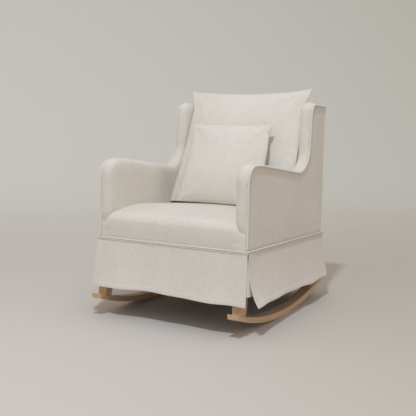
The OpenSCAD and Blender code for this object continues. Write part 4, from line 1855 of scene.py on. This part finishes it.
# ---- the carried CAD pieces ----
@dataclass
class HiddenFrame:
    """Dresses every CAD node that stays."""

    ease: float = 0.0022
    sharp: float = math.radians(38)
    looks: dict[Slot, str] = field(default_factory=lambda: {
        Slot.OAK: "leg_oak", Slot.TIMBER: "timber", Slot.STEEL: "steel", Slot.ZIP_METAL: "zip_metal",
        Slot.ZIP_TAPE: "zip_tape", Slot.FOAM: "foam", Slot.BAG: "bag", Slot.WEBBING: "webbing",
        Slot.DECK: "deck", Slot.DUST: "dust", Slot.PIPING: "piping", Slot.SKIRT: "skirt",
        Slot.CUSHION: "cushion", Slot.LINEN: "linen"})

    def dress(self, finishes: Finishes) -> None:
        """Gives each node its material, and softens the edges of the oak.

        Args:
            finishes: The shared finishes.
        """
        for part in frame["record"]["subparts"]:
            name, slot = part["node"], Slot(part["material_slot"])
            node = frame["nodes"][name]
            look = finishes["runner_oak" if name.endswith("_runner") else self.looks[slot]]
            if not node.material_slots:
                node.data.materials.append(look)
            for place in node.material_slots:
                place.material = look
            if slot is Slot.OAK:
                bevel = node.modifiers.new("eased_edge", "BEVEL")
                bevel.width, bevel.segments, bevel.limit_method = self.ease, 3, "ANGLE"
                bevel.angle_limit = self.sharp
                bevel.harden_normals = True


# ---- studio ----
@dataclass
class Studio:
    """A pale sweep with painted light on it, a small key light high in front on the sitter's left, and even
    light all round.
    """

    azimuth: float
    # Painted light: left and right colours of the floor and the wall. Both darken to the right, and the
    # lighter wall colour takes over with distance, standing in for uneven light on the sweep.
    floor: Sequence[Colour] = ((0.655, 0.600, 0.566), (0.571, 0.520, 0.460))
    wall: Sequence[Colour] = ((0.825, 0.822, 0.805), (0.722, 0.720, 0.680))
    floor_half: float = 0.8
    wall_half: float = 2.3
    fade: Pair = (0.4, 4.2)
    half: float = 9.0
    rise: float = 2.4
    wall_y: float = 5.4
    wall_top: float = 7.5
    key_place: Sequence[float] = (0.92, -2.26, 4.30)
    key_aim: Sequence[float] = (0.0, 0.0, 0.5)
    key_size: float = 0.26
    key_power: float = 96.0
    key_tint: Colour = (0.74, 0.87, 1.0)
    air_tint: Colour = (1.0, 0.935, 0.875)
    air_strength: float = 0.63

    def backdrop_with_painted_light(self) -> bpy.types.Material:
        """The sweep's colour with painted light: it goes darker from left to right, and lighter with distance
        behind the chair as the floor colour gives way to the wall colour.

        Returns:
            The material.
        """
        g = Graph("pale_backdrop_painted_light")
        place = g.place(Space.OBJECT)
        c, n = math.cos(self.azimuth), math.sin(self.azimuth)
        across, away = (g.node("VectorMath", {0: place, 1: way}, operation="DOT_PRODUCT").outputs["Value"]
                        for way in ((c, n, 0.0), (-n, c, 0.0)))
        # Painted light: each colour darkens across the view from left to right.
        colours_with_painted_light = []
        for (left, right), half in ((self.floor, self.floor_half), (self.wall, self.wall_half)):
            share = g.node("MapRange", {0: across, 1: -half, 2: half}).outputs[0]
            colours_with_painted_light.append(g.blend(share, rgba(left), rgba(right)))
        # Painted light: lighter with distance, as the floor colour gives way to the wall colour.
        near, far = self.fade
        depth = g.node("MapRange", {0: away, 1: near, 2: far}, interpolation_type="SMOOTHSTEP").outputs[0]
        colour = g.blend(depth, *colours_with_painted_light)
        return g.close(colour, 0.9, None, 0.0, 0.0, {"Specular IOR Level": 0.15})

    def build_sweep(self) -> None:
        """Makes the sweep that the object stands on."""
        bend_y = self.wall_y - self.rise
        profile = [(-self.half, 0.0), (bend_y, 0.0)]
        for t in (math.radians(90 * k / 24) for k in range(1, 25)):
            profile.append((bend_y + self.rise * math.sin(t), self.rise - self.rise * math.cos(t)))
        profile.append((self.wall_y, self.wall_top))
        turn = Matrix.Rotation(self.azimuth, 3, "Z")
        work = Patchwork()
        rows = [[turn @ Vector((x, y, z)) for x in (-self.half, self.half)] for y, z in profile]
        work.grid(rows, lengths(profile), [0.0, 2 * self.half])
        mesh = bpy.data.meshes.new("studio_sweep")
        mesh.from_pydata([tuple(p) for p in work.points], [], work.faces)
        made = finished("studio_sweep", mesh, self.backdrop_with_painted_light(), 60.0)
        made.data.flip_normals()

    def build(self) -> None:
        """Makes the sweep, the key light and the even light all round."""
        self.build_sweep()
        data = bpy.data.lights.new("key_light", "AREA")
        data.shape, data.size = "SQUARE", self.key_size
        data.energy, data.color = self.key_power, self.key_tint
        made = bpy.data.objects.new("key_light", data)
        made.location = self.key_place
        aim = Vector(self.key_aim) - Vector(self.key_place)
        made.rotation_euler = aim.to_track_quat("-Z", "Y").to_euler()
        bpy.context.scene.collection.objects.link(made)
        world = bpy.data.worlds.new("studio_air")
        world.use_nodes = True
        back = world.node_tree.nodes["Background"]
        back.inputs["Color"].default_value = rgba(self.air_tint)
        back.inputs["Strength"].default_value = self.air_strength
        bpy.context.scene.world = world
        bpy.context.scene.view_settings.view_transform = "Standard"


@dataclass
class CameraRig:
    """The camera: placed by where it stands, the way it faces and its lens."""

    azimuth: float = math.radians(30.3)
    down: float = math.radians(7.6)
    roll: float = math.radians(0.07)
    lens: float = 64.2
    sensor: float = 36.0
    where: Sequence[float] = (1.7047, -2.9765, 0.9158)

    def build(self) -> None:
        """Makes the camera and puts it in the scene."""
        a, e = self.azimuth, self.down
        ahead = Vector((-math.sin(a) * math.cos(e), math.cos(a) * math.cos(e), -math.sin(e)))
        right = Vector((math.cos(a), math.sin(a), 0.0))
        turn = Matrix((right, right.cross(ahead), -ahead)).transposed() @ Matrix.Rotation(self.roll, 3, "Z")
        data = bpy.data.cameras.new("main_camera")
        data.lens, data.sensor_width = self.lens, self.sensor
        made = bpy.data.objects.new("main_camera", data)
        made.location = self.where
        made.rotation_euler = turn.to_euler()
        bpy.context.scene.collection.objects.link(made)
        bpy.context.scene.camera = made


def skirt_panels() -> list[SkirtPanel]:
    """The four panels, as they hang.

    Returns:
        The front, left, back and right panels.
    """
    front_folds = ((0.17, 0.055, 0.012), (0.45, 0.09, 0.004), (0.80, 0.05, 0.008))
    side_folds = ((0.42, 0.10, 0.004), (0.72, 0.07, 0.005))
    back_folds = ((0.3, 0.06, 0.005), (0.7, 0.05, 0.006))
    ends, side_ends = (-0.391, 0.385), (-0.398, 0.406)
    return [
        SkirtPanel(Edge.FRONT, half_top=0.377, out_top=0.4045, hem_ends=ends,
                   flare=(0.026, 0.026), foot=0.116, folds=front_folds),
        SkirtPanel(Edge.LEFT, half_top=0.396, out_top=0.3745, hem_ends=side_ends,
                   flare=(0.044, 0.030), foot=0.116, folds=side_folds),
        SkirtPanel(Edge.BACK, half_top=0.373, out_top=0.404, hem_ends=ends,
                   flare=(0.026, 0.026), foot=0.124, folds=back_folds),
        SkirtPanel(Edge.RIGHT, half_top=0.396, out_top=0.3745, hem_ends=side_ends,
                   flare=(0.032, 0.030), foot=0.116, folds=side_folds),
    ]


def cushions() -> list[LooseCushion]:
    """The large back cushion and the throw pillow.

    Returns:
        The two cushions, leaning as the back does.
    """
    foot, lean = 0.466, math.atan(PLAN.back_slope)
    back = CushionShape(
        "back_cushion_soft", Body.BACK_CUSHION, ("back_cushion_cover", "back_cushion_bag"),
        x=0.0, y=PLAN.back_y(foot) - 0.067, z=foot, half=0.3055, height=0.585, front=0.058, rear=0.074,
        flat=0.062, power=0.60, corners=((0.024, 0.000), (0.024, 0.010)), fullness=(0.001, 0.007),
        sag=0.017, seed=1.3, fill=0.75, step_out=0.042)
    pillow = CushionShape(
        "pillow_soft", Body.PILLOW, ("pillow_cover", "pillow_bag"),
        x=-0.003, y=-0.008, z=0.478, half=0.203, height=0.400, front=0.057, rear=0.050, flat=0.050,
        power=0.47, corners=((0.010, 0.002), (0.0105, 0.006)), fullness=(0.000, 0.0127), sag=0.006,
        seed=4.1, fill=0.7, wrinkle=0.0030, tilt=math.radians(2.5), step_out=0.010, firmer=0.20,
        slimmer=0.45)
    return [LooseCushion(back, lean), LooseCushion(pillow, lean)]


def main() -> None:
    """Builds the camera, the pieces and the studio in order."""
    logging.basicConfig(level=logging.INFO, format="%(message)s")
    camera = CameraRig()
    camera.build()
    finishes = Finishes().build()
    profile = SideProfile()
    for side in Side:
        for kind in (ArmPad, OuterPanel, Piping):
            kind(side, profile).build(finishes)
    welt = Welt()
    for piece in (Seat(), BackPad(), OutsideBack(), welt):
        piece.build(finishes)
    panels = skirt_panels()
    for panel in panels:
        panel.build(finishes)
    for sx in (1, -1):
        for sy in (-1, 1):
            CornerUnderlay(sx, sy).build(finishes)
    for cushion in cushions():
        cushion.build(finishes)
        name, body = cushion.shape.name + "_edge_stitching", cushion.shape.body
        StitchRun(name, [cushion.edge_line()], body, Slot.CUSHION).build(finishes)
    lines = [panel.hem_line() for panel in panels] + [welt.stitch_line()]
    StitchRun("skirt_stitching", lines, Body.CHAIR, Slot.SKIRT).build(finishes)
    HiddenFrame().dress(finishes)
    Studio(camera.azimuth).build()


if __name__ == "__main__":
    main()
